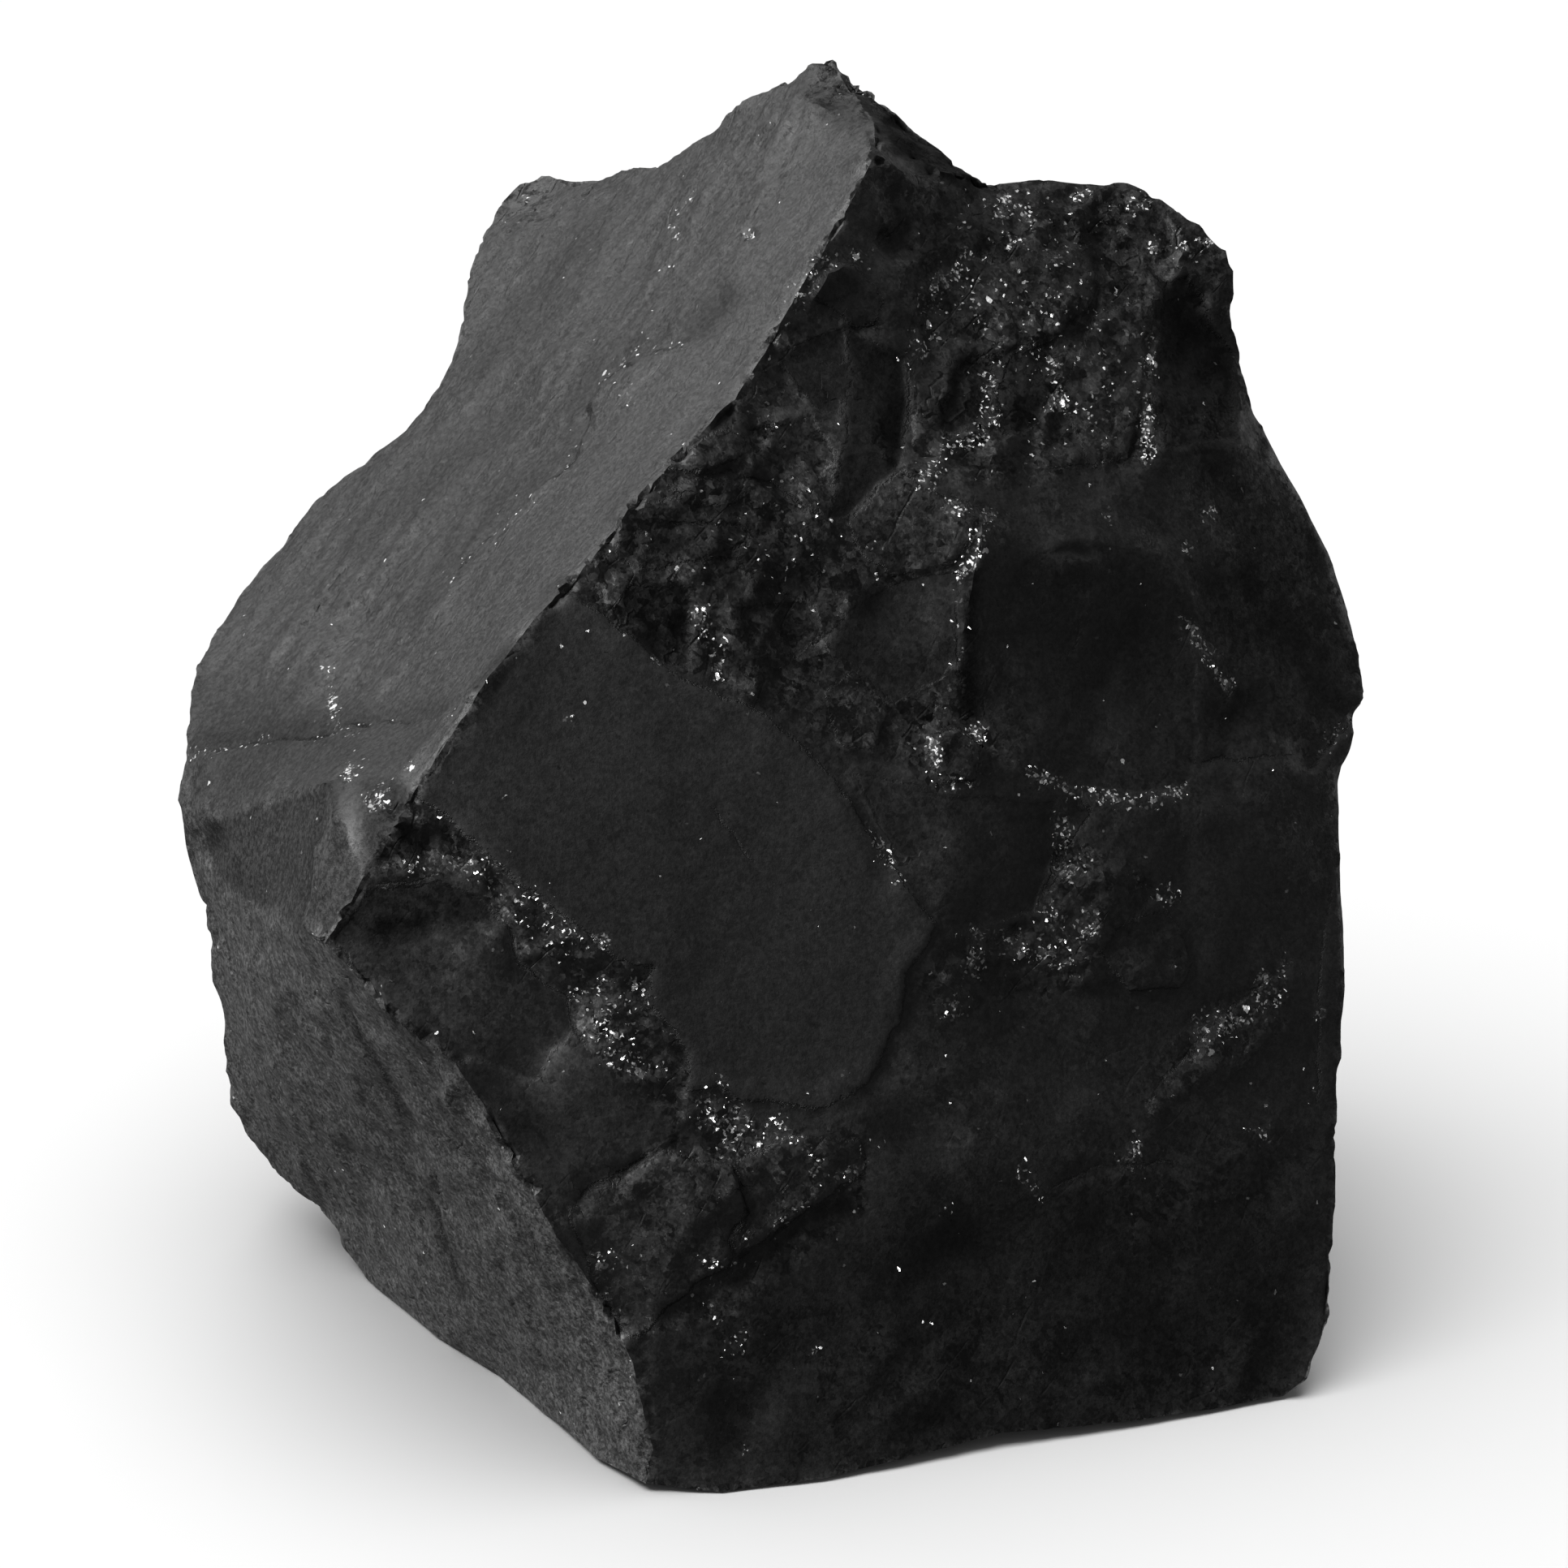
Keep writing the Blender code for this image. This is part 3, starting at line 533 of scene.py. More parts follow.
# Steps: (height, fade, path). The side to the right of travel is lower by height at the
# lip and comes back level over fade. All in mm.
ledges = {
    "skyStep": (0.35, 3.0, [
        (-2.9, 23.6), (-5.2, 21.6), (-7.7, 20.7), (-9.2, 19.8), (-10.3, 16.1), (-13.2, 13.6),
        (-16.4, 10.4), (-17.4, 8.2)]),
    "skyCrack": (0.25, 3.0, [
        (-16.2, 3.5), (-19.6, 3.2), (-21.0, 3.0), (-23.5, 2.3), (-25.5, 2.2), (-26.9, 1.9),
        (-29.4, 1.4)]),
    "topLine": (0.2, 3.0, [(18.7, 16.4), (18.2, 18.6), (18.6, 20.6), (18.7, 24.5), (17.6, 26.4)]),
    "midStep": (0.05, 4.0, [
        (8.0, 13.8), (10.3, 13.2), (9.3, 11.0), (8.5, 10.4), (8.6, 6.1), (8.8, 2.6)]),
    "scoopRib": (0.08, 1.2, [(14.6, 8.6), (14.4, 6.9), (13.3, 6.1)]),
    "notch": (0.45, 2.4, [(28.6, 3.9), (27.5, 2.5), (26.4, 1.2), (25.6, 0.4)]),
    "rightEdge": (0.18, 3.0, [
        (14.2, -0.2), (15.2, -1.2), (14.0, -3.4), (13.4, -5.0), (12.4, -6.4)]),
    "farStep": (0.14, 3.0, [(24.8, -8.8), (21.6, -11.6), (18.4, -15.0), (17.6, -17.0)]),
    "sideStrip": (0.12, 2.5, [
        (26.6, -2.0), (27.1, -5.2), (26.6, -8.0), (26.3, -12.0), (26.4, -17.0)]),
    "capLedge": (0.25, 1.2, [(1.1, 33.6), (2.6, 34.1), (4.3, 33.6), (6.0, 31.7), (8.6, 30.3)]),
    "lowLip": (0.2, 2.2, [(-3.0, -24.2), (-0.4, -22.2), (1.4, -20.9), (3.6, -19.4)]),
    "chinLine": (0.15, 1.4, [(-22.2, -0.1), (-22.8, -1.8), (-23.2, -3.6), (-23.6, -7.0)]),
}

# Cracks and furrows: (depth, half width, path).
cracks = {
    "skyShadeMask": (0.28, 0.22, [
        (-16.2, 3.5), (-17.4, 3.3), (-19.6, 3.2), (-21.0, 3.0), (-23.5, 2.3), (-25.5, 2.2),
        (-26.9, 1.9), (-29.4, 1.4)]),
    "slabHair": (0.05, 0.14, [(-3.9, -0.8), (-2.6, -2.4), (-1.2, -4.3)]),
    "right": (0.25, 0.2, [
        (20.2, 2.2), (20.1, 1.3), (20.5, 1.0), (21.7, 1.2), (23.4, 1.2), (25.6, 1.5)]),
    "cap": (0.5, 0.35, [(2.6, 34.6), (3.4, 34.4), (4.4, 34.0), (5.0, 33.5)]),
    "lumpFoot": (0.4, 0.2, [(3.2, 22.5), (4.0, 22.6), (4.8, 22.6)]),
    "lumpLine": (0.2, 0.16, [(1.4, 23.8), (2.4, 23.7), (3.4, 24.1)]),
    "plateTop": (0.3, 0.2, [(7.4, 14.2), (8.4, 14.2), (9.6, 13.6), (10.4, 13.4)]),
    "topFoot": (0.25, 0.22, [(12.4, 15.6), (14.6, 15.6), (17.0, 16.2), (18.6, 16.4)]),
    "tallSide": (0.2, 0.2, [(6.1, 20.6), (6.2, 18.4), (6.0, 16.4)]),
    "ridgeGapA": (0.35, 0.25, [(-4.6, 15.2), (-2.6, 15.4), (-0.4, 14.8), (1.6, 13.4)]),
    "ridgeGapB": (0.35, 0.25, [(-6.4, 12.9), (-4.4, 12.9), (-2.2, 12.6), (-0.4, 12.3)]),
    "ridgeGapC": (0.35, 0.25, [(-4.2, 11.0), (-2.2, 11.0), (-1.6, 10.4)]),
    "lowA": (0.3, 0.22, [
        (-2.6, -18.8), (-2.1, -20.2), (-1.7, -21.2), (-2.4, -21.9), (-2.9, -23.8)]),
    "lowB": (0.35, 0.25, [(-10.7, -21.2), (-9.3, -19.6), (-7.9, -19.1), (-6.2, -18.2)]),
    "lowC": (0.2, 0.2, [(-8.2, -20.4), (-8.0, -19.2), (-6.6, -18.0)]),
    "foot": (0.3, 0.25, [(-20.6, -5.0), (-18.4, -4.8), (-17.0, -4.3)]),
    "bandFoot": (0.3, 0.3, [
        (-15.0, -5.4), (-13.5, -7.2), (-13.1, -8.9), (-10.7, -10.5), (-10.4, -11.9),
        (-9.4, -13.6)]),
    "furrowA": (0.16, 0.25, [(-22.1, -10.3), (-19.7, -14.4), (-18.4, -16.8)]),
    "furrowB": (0.2, 0.25, [(-17.7, -19.7), (-16.7, -22.4), (-15.8, -25.2)]),
    "furrowC": (0.16, 0.22, [(-16.5, -17.3), (-15.4, -18.8)]),
    "furrowD": (0.18, 0.22, [(-13.4, -20.4), (-11.7, -24.2)]),
    "furrowE": (0.14, 0.25, [(-24.6, -11.4), (-22.4, -14.6), (-21.0, -17.4)]),
    "wedge": (0.35, 0.4, [(13.7, -3.0), (13.2, -4.8), (12.5, -6.2)]),
    "lowCrack": (0.15, 0.2, [(20.0, -18.6), (15.6, -18.8), (12.6, -20.0)]),
}

# The ridges that are chipped all along: the long one, the lower left one and the peak's.
chippedRidges = [
    [(4.4, 31.0), (3.0, 28.6), (-0.4, 23.4), (-4.2, 17.8), (-8.6, 12.6), (-11.0, 9.6)],
    [(-22.4, -8.0), (-18.4, -11.6), (-14.0, -16.0), (-9.4, -23.4), (-7.0, -30.0)],
    [(1.2, 33.9), (2.2, 35.4), (4.9, 33.9), (8.6, 30.6)],
]

# Hollows: (depth, right, up, half width, half height, turn in degrees).
hollows = {
    "topA": (0.35, 5.3, 26.8, 1.6, 1.1, 0.0), "arch": (0.25, 14.5, 11.5, 1.6, 0.6, 0.0),
    "left": (0.45, -28.5, -3.1, 1.4, 1.6, 0.0), "pitA": (0.35, -1.7, 27.0, 0.5, 0.4, 0.0),
    "foot": (0.45, -18.0, -2.6, 1.6, 0.9, -25.0), "skyA": (0.45, -13.6, 18.6, 4.0, 2.2, 40.0),
    "skyB": (0.4, -21.0, 8.4, 3.6, 2.0, 40.0), "skyC": (0.4, -7.0, 26.0, 3.4, 1.6, 40.0),
    "lowA": (0.25, -8.4, -24.2, 1.4, 0.9, 30.0), "chin": (0.2, -18.6, -7.4, 2.4, 1.0, 10.0),
}

# Glinting specks: chains (density, half width, path), then clusters (density, right, up,
# radius). Density is the share of grains that catch the light.
glintChains = [
    (0.5, 0.2, [(-22.5, 5.8), (-22.1, 2.6)]), (0.3, 0.2, [(-29.4, 1.3), (-25.4, 2.3)]),
    (0.12, 0.2, [(-23.4, 2.1), (-19.6, 3.3), (-16.2, 3.5)]),
    (0.2, 0.25, [(-4.0, 29.3), (-4.9, 28.6), (-5.7, 27.9), (-5.2, 26.8), (-5.6, 25.7)]),
    (0.16, 0.35, [(-5.1, 21.6), (-8.4, 20.8), (-8.9, 20.0), (-7.7, 19.2)]),
    (0.08, 0.3, [(-10.2, 16.4), (-12.2, 14.2), (-13.4, 12.8), (-16.7, 10.6), (-16.3, 9.2)]),
    (0.5, 0.35, [(10.2, 20.1), (10.2, 17.9), (9.3, 17.0), (7.8, 16.4), (6.9, 15.0)]),
    (0.6, 0.3, [(8.0, 13.8), (9.0, 13.3), (10.3, 13.2), (9.6, 12.3), (9.3, 11.0), (8.5, 10.4)]),
    (0.06, 0.2, [(8.5, 10.4), (8.6, 6.1)]),
    (0.6, 0.35, [(18.2, 21.8), (17.9, 19.0), (18.1, 16.4)]),
    (0.4, 0.5, [(6.9, 21.9), (6.6, 21.1), (7.0, 24.0), (7.4, 24.3), (8.7, 26.0)]),
    (0.5, 0.3, [(-3.9, 8.4), (-3.6, 7.4), (-3.1, 7.0), (-3.1, 5.2)]),
    (0.3, 0.3, [(-19.0, -4.0), (-17.8, -4.0), (-16.4, -3.6), (-14.9, -3.8), (-14.4, -4.2)]),
    (0.26, 0.6, [
        (-14.6, -4.4), (-12.6, -5.8), (-10.6, -7.6), (-9.3, -9.6), (-8.6, -12.0), (-6.6, -14.2)]),
    (0.3, 0.25, [(-13.2, -5.0), (-11.6, -6.2), (-10.4, -7.4)]),
    (0.3, 0.25, [(-10.4, -10.2), (-9.6, -11.2)]), (0.3, 0.3, [(-7.6, -9.2), (-7.0, -11.4)]),
    (0.3, 0.3, [(-9.8, -12.2), (-8.6, -13.5)]), (0.3, 0.3, [(-3.2, -15.2), (-1.2, -17.4)]),
    (0.5, 0.5, [(-3.4, -15.2), (-3.9, -16.6), (-1.4, -17.4)]),
    (0.4, 0.25, [(7.4, 2.0), (7.4, 0.4), (8.2, -0.1), (9.5, 0.2)]),
    (0.45, 0.3, [(11.6, 0.8), (13.9, -0.3), (17.6, -1.0), (19.5, -0.4)]),
    (0.35, 0.35, [(13.8, -0.8), (13.9, -2.2), (14.0, -4.6), (14.8, -3.8)]),
    (0.45, 0.5, [(13.2, -6.4), (14.1, -8.7), (9.7, -7.6), (8.5, -10.6), (8.0, -11.0)]),
    (0.4, 0.4, [(24.9, -9.0), (23.9, -10.8), (20.7, -12.8)]),
    (0.35, 0.3, [(23.2, -16.8), (23.6, -17.3)]), (0.35, 0.3, [(11.8, -19.3), (12.7, -20.2)]),
    (0.3, 0.3, [(4.2, -2.2), (5.8, -4.8)]), (0.35, 0.35, [(20.0, 7.8), (21.2, 5.9), (22.0, 4.8)]),
    (0.3, 0.3, [(28.0, 3.4), (26.8, 2.0)]),
    (0.3, 0.4, [(-0.4, -16.8), (2.5, -19.8), (4.4, -17.8)]),
    (0.35, 0.5, [(-3.2, -17.8), (-1.4, -17.4)]), (0.3, 0.3, [(-4.0, -23.3), (-2.6, -23.8)]),
    (0.12, 0.35, [(3.4, -19.2), (1.4, -20.6), (-0.4, -21.9), (-3.1, -23.8)]),
    (0.1, 0.3, [(-3.1, -23.8), (-3.8, -25.6), (-2.3, -28.1)]),
    (0.4, 0.35, [(17.4, -17.9), (17.0, -18.6)]),
    (0.3, 0.3, [(4.4, 26.2), (2.9, 26.2), (1.6, 25.4), (0.2, 23.4), (-0.2, 22.6)]),
]
glintClusters = [
    (0.045, 12.0, 24.6, 6.0), (0.035, 15.0, 20.0, 4.5), (0.015, -1.0, 13.0, 4.0),
    (0.6, 10.6, 28.4, 0.8), (0.6, 11.2, 26.8, 0.6), (0.6, 12.0, 28.0, 0.5),
    (0.5, 17.4, 28.5, 0.7), (0.5, 18.2, 26.6, 0.6), (0.5, 14.6, 29.2, 0.6),
    (0.4, 19.8, 26.2, 0.6), (0.5, 20.7, 26.6, 0.5), (0.5, 18.1, 21.9, 0.7),
    (0.5, 13.6, 18.8, 0.7), (0.25, 13.0, 21.0, 0.9), (0.25, 15.6, 22.8, 0.9),
    (0.8, -4.1, 8.4, 0.5), (0.5, -6.3, 6.1, 0.3), (0.6, -3.1, 7.0, 0.5), (0.4, -20.0, -0.8, 1.0),
    (0.12, -11.9, 30.1, 0.3), (0.12, -12.8, 28.9, 0.3), (0.12, -13.8, 27.8, 0.3),
    (0.3, -18.4, 0.8, 0.5), (0.3, -21.4, 0.6, 0.5), (0.5, -8.6, -23.8, 1.3),
    (0.6, -9.0, -7.6, 0.6), (0.35, -8.4, -10.6, 1.4), (0.5, 9.4, 2.4, 0.9),
    (0.5, 14.0, -4.2, 0.7), (0.45, 14.8, -7.2, 0.8), (0.5, 22.0, 4.9, 0.5),
    (0.4, 16.0, 13.4, 0.5), (0.4, 21.0, 13.4, 0.5), (0.4, 20.0, 11.6, 0.5),
    (0.35, 18.8, -5.4, 0.9), (0.4, 23.8, -9.6, 0.5), (0.5, 26.4, -11.4, 0.4),
    (0.5, 21.0, -12.0, 1.2), (0.4, 2.9, -14.2, 0.3), (0.7, -10.6, 3.1, 0.3),
    (0.6, -1.8, 27.1, 0.35), (0.35, 1.5, -28.0, 0.5), (0.3, -2.2, -27.2, 0.5),
    (0.35, -2.2, -33.0, 0.4), (0.3, 8.0, -21.0, 0.4),
]


def pathGauge(spots, path):
    # Distance to a path of straight links, left of travel positive, and how far along it.
    nearest = np.full(len(spots), np.inf)
    signed = np.zeros(len(spots))
    along = np.zeros(len(spots))
    run = 0.0
    for a, b in zip(np.array(path[:-1]), np.array(path[1:])):
        link = b - a
        length = np.linalg.norm(link)
        away = spots - a
        share = np.clip(away @ link / length ** 2, 0.0, 1.0)
        gap = np.linalg.norm(away - share[:, None] * link, axis=1)
        side = np.sign(link[0] * away[:, 1] - link[1] * away[:, 0])
        closer = gap < nearest
        signed = np.where(closer, gap * side, signed)
        along = np.where(closer, run + share * length, along)
        nearest = np.where(closer, gap, nearest)
        run += length
    return signed, along, run


def loopGap(spots, loop):
    # Distance to a closed loop's line, positive inside it.
    closed = list(loop) + [loop[0]]
    gap = np.abs(pathGauge(spots, closed)[0])
    inside = np.zeros(len(spots), dtype=bool)
    for (ax, ay), (bx, by) in zip(closed[:-1], closed[1:]):
        crosses = (ay > spots[:, 1]) != (by > spots[:, 1])
        rise = by - ay if by != ay else 1.0
        inside ^= crosses & (spots[:, 0] < ax + (bx - ax) * (spots[:, 1] - ay) / rise)
    return np.where(inside, gap, -gap)


def areaShare(spots, loop, soft):
    # 1 inside a closed loop, 0 outside, smooth over soft to each side of its line.
    return smoothStep(loopGap(spots, loop), -soft, soft)


def endTaper(along, length, share):
    # 0 at both ends of a path, smoothly up to 1 at that share of its length from them.
    return smoothStep(np.minimum(along, length - along), relief["endStart"], share * length)


def ledgeHeight(spots, height, fade, path):
    # -height / (1 + e^(d / lip)) * e^(d / fade) right of the path, tapered at its ends.
    signed, along, length = pathGauge(spots, path)
    low = 1.0 / (1.0 + np.exp(np.clip(signed / relief["ledgeLip"], -40.0, 40.0)))
    taper = endTaper(along, length, relief["ledgeEnd"])
    return -height * low * np.exp(np.minimum(signed, 0.0) / fade) * taper


def crackHeight(spots, depth, width, path):
    # -share . depth . e^-(d / (spread . width))^2, tapered at its ends.
    signed, along, length = pathGauge(spots, path)
    taper = endTaper(along, length, relief["crackEnd"])
    across = signed / (relief["crackSpread"] * width)
    return -relief["crackShare"] * depth * np.exp(-across ** 2) * taper


def hollowHeight(spots, depth, right, up, wide, high, turn):
    # -depth (1 - r^2)^2 inside an ellipse, r from 0 at its middle to 1 at its line.
    angle = math.radians(turn)
    away = spots - np.array((right, up))
    a = (away[:, 0] * math.cos(angle) + away[:, 1] * math.sin(angle)) / wide
    b = (away[:, 1] * math.cos(angle) - away[:, 0] * math.sin(angle)) / high
    return -depth * np.clip(1.0 - a * a - b * b, 0.0, 1.0) ** 2


def markHeight(spots):
    # Sum of the heights of all ledges, cracks and hollows.
    total = np.zeros(len(spots))
    for mark in ledges.values():
        total += ledgeHeight(spots, *mark)
    for mark in cracks.values():
        total += crackHeight(spots, *mark)
    for mark in hollows.values():
        total += hollowHeight(spots, *mark)
    return total


def glintShare(spots):
    # Density of glinting grains: the strongest of all chains and clusters at each point.
    total = np.zeros(len(spots))
    for density, width, path in glintChains:
        signed, _, _ = pathGauge(spots, path)
        total = np.maximum(total, density * np.exp(-(signed / width) ** 2))
    for density, right, up, radius in glintClusters:
        gap = np.linalg.norm(spots - np.array((right, up)), axis=1)
        core = pattern["glintCore"] * radius
        total = np.maximum(total, density * (1.0 - smoothStep(gap, core, radius + 0.01)))
    return total


def plateHeight(spots, shares):
    # Sum over plates of share . (rise + tilt . (place - the middle of its loop)).
    total = np.zeros(len(spots))
    for share, plate in zip(shares, plates.values()):
        away = spots - np.mean(np.array(plate.loop), axis=0)
        total += share * (plate.rise + away @ np.array((plate.tiltRight, plate.tiltUp)))
    return total


def paleAndShadeShare(spots, shares):
    # How pale the rock is, 1 for its usual black: the product over plates, stretches and shade lines.
    # Part of it is the rock's own paleness and part is painted light and shade.
    total = np.ones(len(spots))
    for share, plate in zip(shares, plates.values()):
        total *= 1.0 + (plate.pale - 1.0) * share
    for pale, fade, loop in stretches.values():
        total *= 1.0 + (pale - 1.0) * areaShare(spots, loop, fade)
    for pale, width, path in shadeLines:
        total *= 1.0 + (pale - 1.0) * np.exp(-(pathGauge(spots, path)[0] / width) ** 2)
    return total


def chipShare(spots):
    # How much of the chipping a ridge gets: all of it near one of the chipped paths.
    total = np.full(len(spots), relief["chipElsewhere"])
    for path in chippedRidges:
        gap = np.abs(pathGauge(spots, path)[0])
        total = np.maximum(total, 1.0 - smoothStep(gap, *relief["chipReach"]))
    return total


def borderMarks(gaps):
    # Distance to the nearest plate border, and that plate's rise, faded away from the border.
    nearest = np.full(len(gaps[0]), np.inf)
    side = np.zeros(len(gaps[0]))
    rise = np.zeros(len(gaps[0]))
    for rank, (gap, plate) in enumerate(zip(gaps, plates.values())):
        away = np.abs(gap) + 0.02 * rank        # on a shared border the first plate wins
        closer = away < nearest
        side = np.where(closer, gap, side)
        rise = np.where(closer, plate.rise, rise)
        nearest = np.where(closer, away, nearest)
    return side, rise * (1.0 - smoothStep(np.abs(side), *pattern["markFade"]))


def crackMarks(spots):
    # Distance to the nearest crack, left of travel positive, and that crack's strength.
    nearest = np.full(len(spots), np.inf)
    side = np.zeros(len(spots))
    strength = np.zeros(len(spots))
    for depth, _, path in list(cracks.values()) + list(ledges.values()):
        signed, along, length = pathGauge(spots, path)
        full = np.clip(depth * pattern["crackGain"], pattern["crackLeast"], 1.0)
        closer = np.abs(signed) < nearest
        side = np.where(closer, signed, side)
        strength = np.where(closer, full * endTaper(along, length, pattern["crackMarkEnd"]),
                            strength)
        nearest = np.where(closer, np.abs(signed), nearest)
    return side, strength * (1.0 - smoothStep(nearest, *pattern["crackFade"]))


def roughShare(points, normals, spots, shown, shares):
    # Roughness by the way each break faces, then by the areas on the show side.
    front = smoothStep(normals @ sightLine(), *roughness["frontFacing"])
    left = faceLeft(normals)
    rough = roughness["far"] * (1.0 - left) + roughness["left"] * left
    rough = rough * (1.0 - front) + roughness["front"] * front
    slow = layeredNoise(points, pattern["roughSize"], seeds["rough"])
    least, more = roughness["slowShare"]
    rough = rough * (least + more * smoothStep(slow, *roughness["slowRange"]))
    for level, loop in roughAreas.values():
        rough = np.maximum(rough, level * areaShare(spots, loop, roughness["areaEdge"]) * shown)
    for share, plate in zip(shares, plates.values()):
        rough = rough * (1.0 - share) + plate.rough * share
    return rough


def faceLeft(normals):
    # 0 to 1 as the surface turns to the left.
    return smoothStep(-normals[:, 0], *roughness["leftFacing"])


def scoopRelief(points, rough, wobble):
    # Sum over the sizes of size . step . roughness . (scoop - middle). Also each scoop's own
    # shade, and seams e^-(gap / width)^2 where the larger scoops meet.
    height, shade, seam = np.zeros((3, len(points)))
    bent = alongFabric(points, relief["scoopStretch"]) + relief["scoopWobble"] * wobble[:, :1]
    for size, step, seed in zip(relief["scoopSizes"], relief["scoopSteps"], seeds["scoops"]):
        scoop, gap, own = scoops(bent, size, seed)
        height += size * step * rough * (scoop - relief["scoopMiddle"])
        shade += (own - 0.5) * np.clip(rough * pattern["shadeRough"], 0.0, 1.0)
        line = np.exp(-(gap * size / relief["seamWidth"]) ** 2)
        seam = np.maximum(seam, line * (size > relief["seamFrom"]))
    return height, shade, seam


def rockRelief(points, rough, left):
    # Swells everywhere, |noise| folds on the left faces, and a fine layered grain.
    swell = layeredNoise(points, relief["swellSize"], seeds["swell"])
    gain, least = relief["swellGain"]
    swell *= relief["swellHeight"] * np.clip(rough * gain, least, 1.0)
    fold = np.abs(layeredNoise(alongFabric(points, relief["foldStretch"]), relief["foldSize"],
                               seeds["folds"]))
    fold *= relief["foldHeight"] * left * np.clip(rough * relief["foldGain"], 0.0, 1.0)
    grain = layeredNoise(alongFabric(points, relief["grainStretch"]), relief["grainSize"],
                         seeds["grain"])
    return swell + fold + relief["grainHeight"] * (relief["grainLeast"] + rough) * grain


def chipRelief(points, spots, ridge):
    # -chip where the sum of a coarse and a fine noise is high, near the ridges only.
    coarse, fine = (gradientNoise(points, size, seed)
                    for size, seed in zip(relief["chipSizes"], seeds["chips"]))
    knocked = smoothStep(coarse + relief["fineChip"] * fine, *relief["chipFrom"])
    return -relief["ridgeChip"] * knocked * ridge * chipShare(spots)


def skinJitter(points, normals, rough):
    # A random step within the surface, for rubble only.
    step = 2.0 * scatter(np.arange(len(points))[:, None] + np.zeros(3), seeds["jitter"]) - 1.0
    step -= normals * np.sum(step * normals, axis=1, keepdims=True)
    gain, less = relief["jitterGain"]
    return step * (relief["jitter"] * np.clip(rough * gain - less, 0.0, 1.0))[:, None]


def finishMarks(points, faces, web, rough, left, up, base):
    # What the finish reads: slow patterns, how far a face turns left, and how each point
    # stands above its near and its wider neighbours.
    marks = {"rough": rough, "left": left * (1.0 - base)}
    marks["under"] = marks["left"] * smoothStep(-up, *pattern["underFrom"])
    patch = layeredNoise(points, pattern["patchSize"], seeds["patch"])
    marks["patch"] = smoothStep(patch, *pattern["patchRange"])
    mottled = alongFabric(points, pattern["mottleStretch"])
    mottle = layeredNoise(mottled, pattern["mottleSize"], seeds["mottle"],
                          pattern["mottleLayers"])
    marks["mottle"] = 0.5 + pattern["mottleGain"] * mottle
    creased = alongFabric(points, pattern["creaseStretch"])
    marks["crease"] = layeredNoise(creased, pattern["creaseSize"], seeds["crease"])
    outward = pointNormals(points, faces)
    curve = np.sum((points - web.average(points)) * outward, axis=1)
    settled = web.spread(points, pattern["broadRounds"])
    broad = np.sum((points - settled) * outward, axis=1)
    marks["curve"] = np.clip(0.5 + pattern["curveGain"] * curve, 0.0, 1.0)
    marks["broad"] = np.clip(0.5 + pattern["broadGain"] * broad, 0.0, 1.0)
    return marks


def buildSkin():
    # P + N . height: the refined, settled CAD surface moved along its own normals.
    corners, faces = readNode(nodeName)
    points, faces, held = refine(corners, faces, stone["cuts"])
    print("skin:", len(points), "points,", len(faces), "triangles")
    web = Web(faces, len(points))
    base = np.abs(points[:, 2]) < stone["baseBand"]
    resting = points[base].copy()
    ridge = web.spread((held & ~base).astype(float), stone["ridgeRounds"])
    ridge = np.clip(ridge / stone["ridgeFull"], 0.0, 1.0)
    loose = np.where(held | base, 0.0, stone["relaxShare"])[:, None]
    for _ in range(stone["relaxRounds"]):
        points = points + loose * (web.average(points) - points)
    normals = unit(web.spread(pointNormals(points, faces), stone["normalRounds"]))
    left = faceLeft(normals)
    print("skin settled between its ridges")

    # where each point is seen, how squarely, and which plates it lies in
    facing = pointNormals(points, faces) @ sightLine()
    shown = smoothStep(facing, 0.0, stone["facingEdge"])
    spots = onSight(points)
    wobble = np.stack([layeredNoise(points, relief["wobbleSize"], seed)
                       for seed in seeds["wobble"]], axis=1)
    loosened = spots + relief["wobbleReach"] * wobble
    gaps = [loopGap(loosened, plate.loop) for plate in plates.values()]
    edge = relief["plateEdge"]
    shares = [smoothStep(gap, -edge, edge) * shown for gap in gaps]
    rough = roughShare(points, normals, loosened, shown, shares)
    rough = np.maximum(rough, roughness["ridge"] * ridge * (rough > roughness["ridgeAbove"]))

    # the relief, along the normals
    height, shade, seam = scoopRelief(points, rough, wobble)
    height += rockRelief(points, rough, left) + chipRelief(points, spots, ridge)
    height += (markHeight(loosened) + plateHeight(loosened, shares)) * shown
    height *= 1.0 - (1.0 - relief["rimKept"]) * np.exp(-(facing / relief["rimWidth"]) ** 2)
    height *= smoothStep(points[:, 2], 0.0, stone["footFade"])
    points = points + normals * height[:, None] + skinJitter(points, normals, rough)
    points[base] = resting
    points[~base, 2] = np.maximum(points[~base, 2], stone["baseBand"])
    print("relief cut")

    # the glints, tones, borders and cracks that the finish draws
    marks = finishMarks(points, faces, web, rough, left, normals[:, 2], base)
    gloss = paleAndShadeShare(spots, shares) * shown + (1.0 - shown)
    # painted shade on faces that turn left and up, which the lamps light strongly
    skyShadeMask = left * smoothStep(normals[:, 2], *pattern["skyFrom"])
    glint = glintShare(spots + 0.5 * relief["wobbleReach"] * wobble) * shown
    borderSide, borderRise = borderMarks(gaps)
    crackSide, crackShare = crackMarks(loosened)
    marks.update({
        "glint": glint, "shade": 0.5 + pattern["shadeGain"] * shade, "seam": seam,
        "gloss": gloss, "paleAndShade": gloss * (1.0 - pattern["paintedSkyShade"] * skyShadeMask),
        "borderSide": borderSide, "borderRise": borderRise * shown * (1.0 - marks["left"]),
        "crackSide": crackSide, "crackShare": crackShare * shown})
    return points, faces, marks


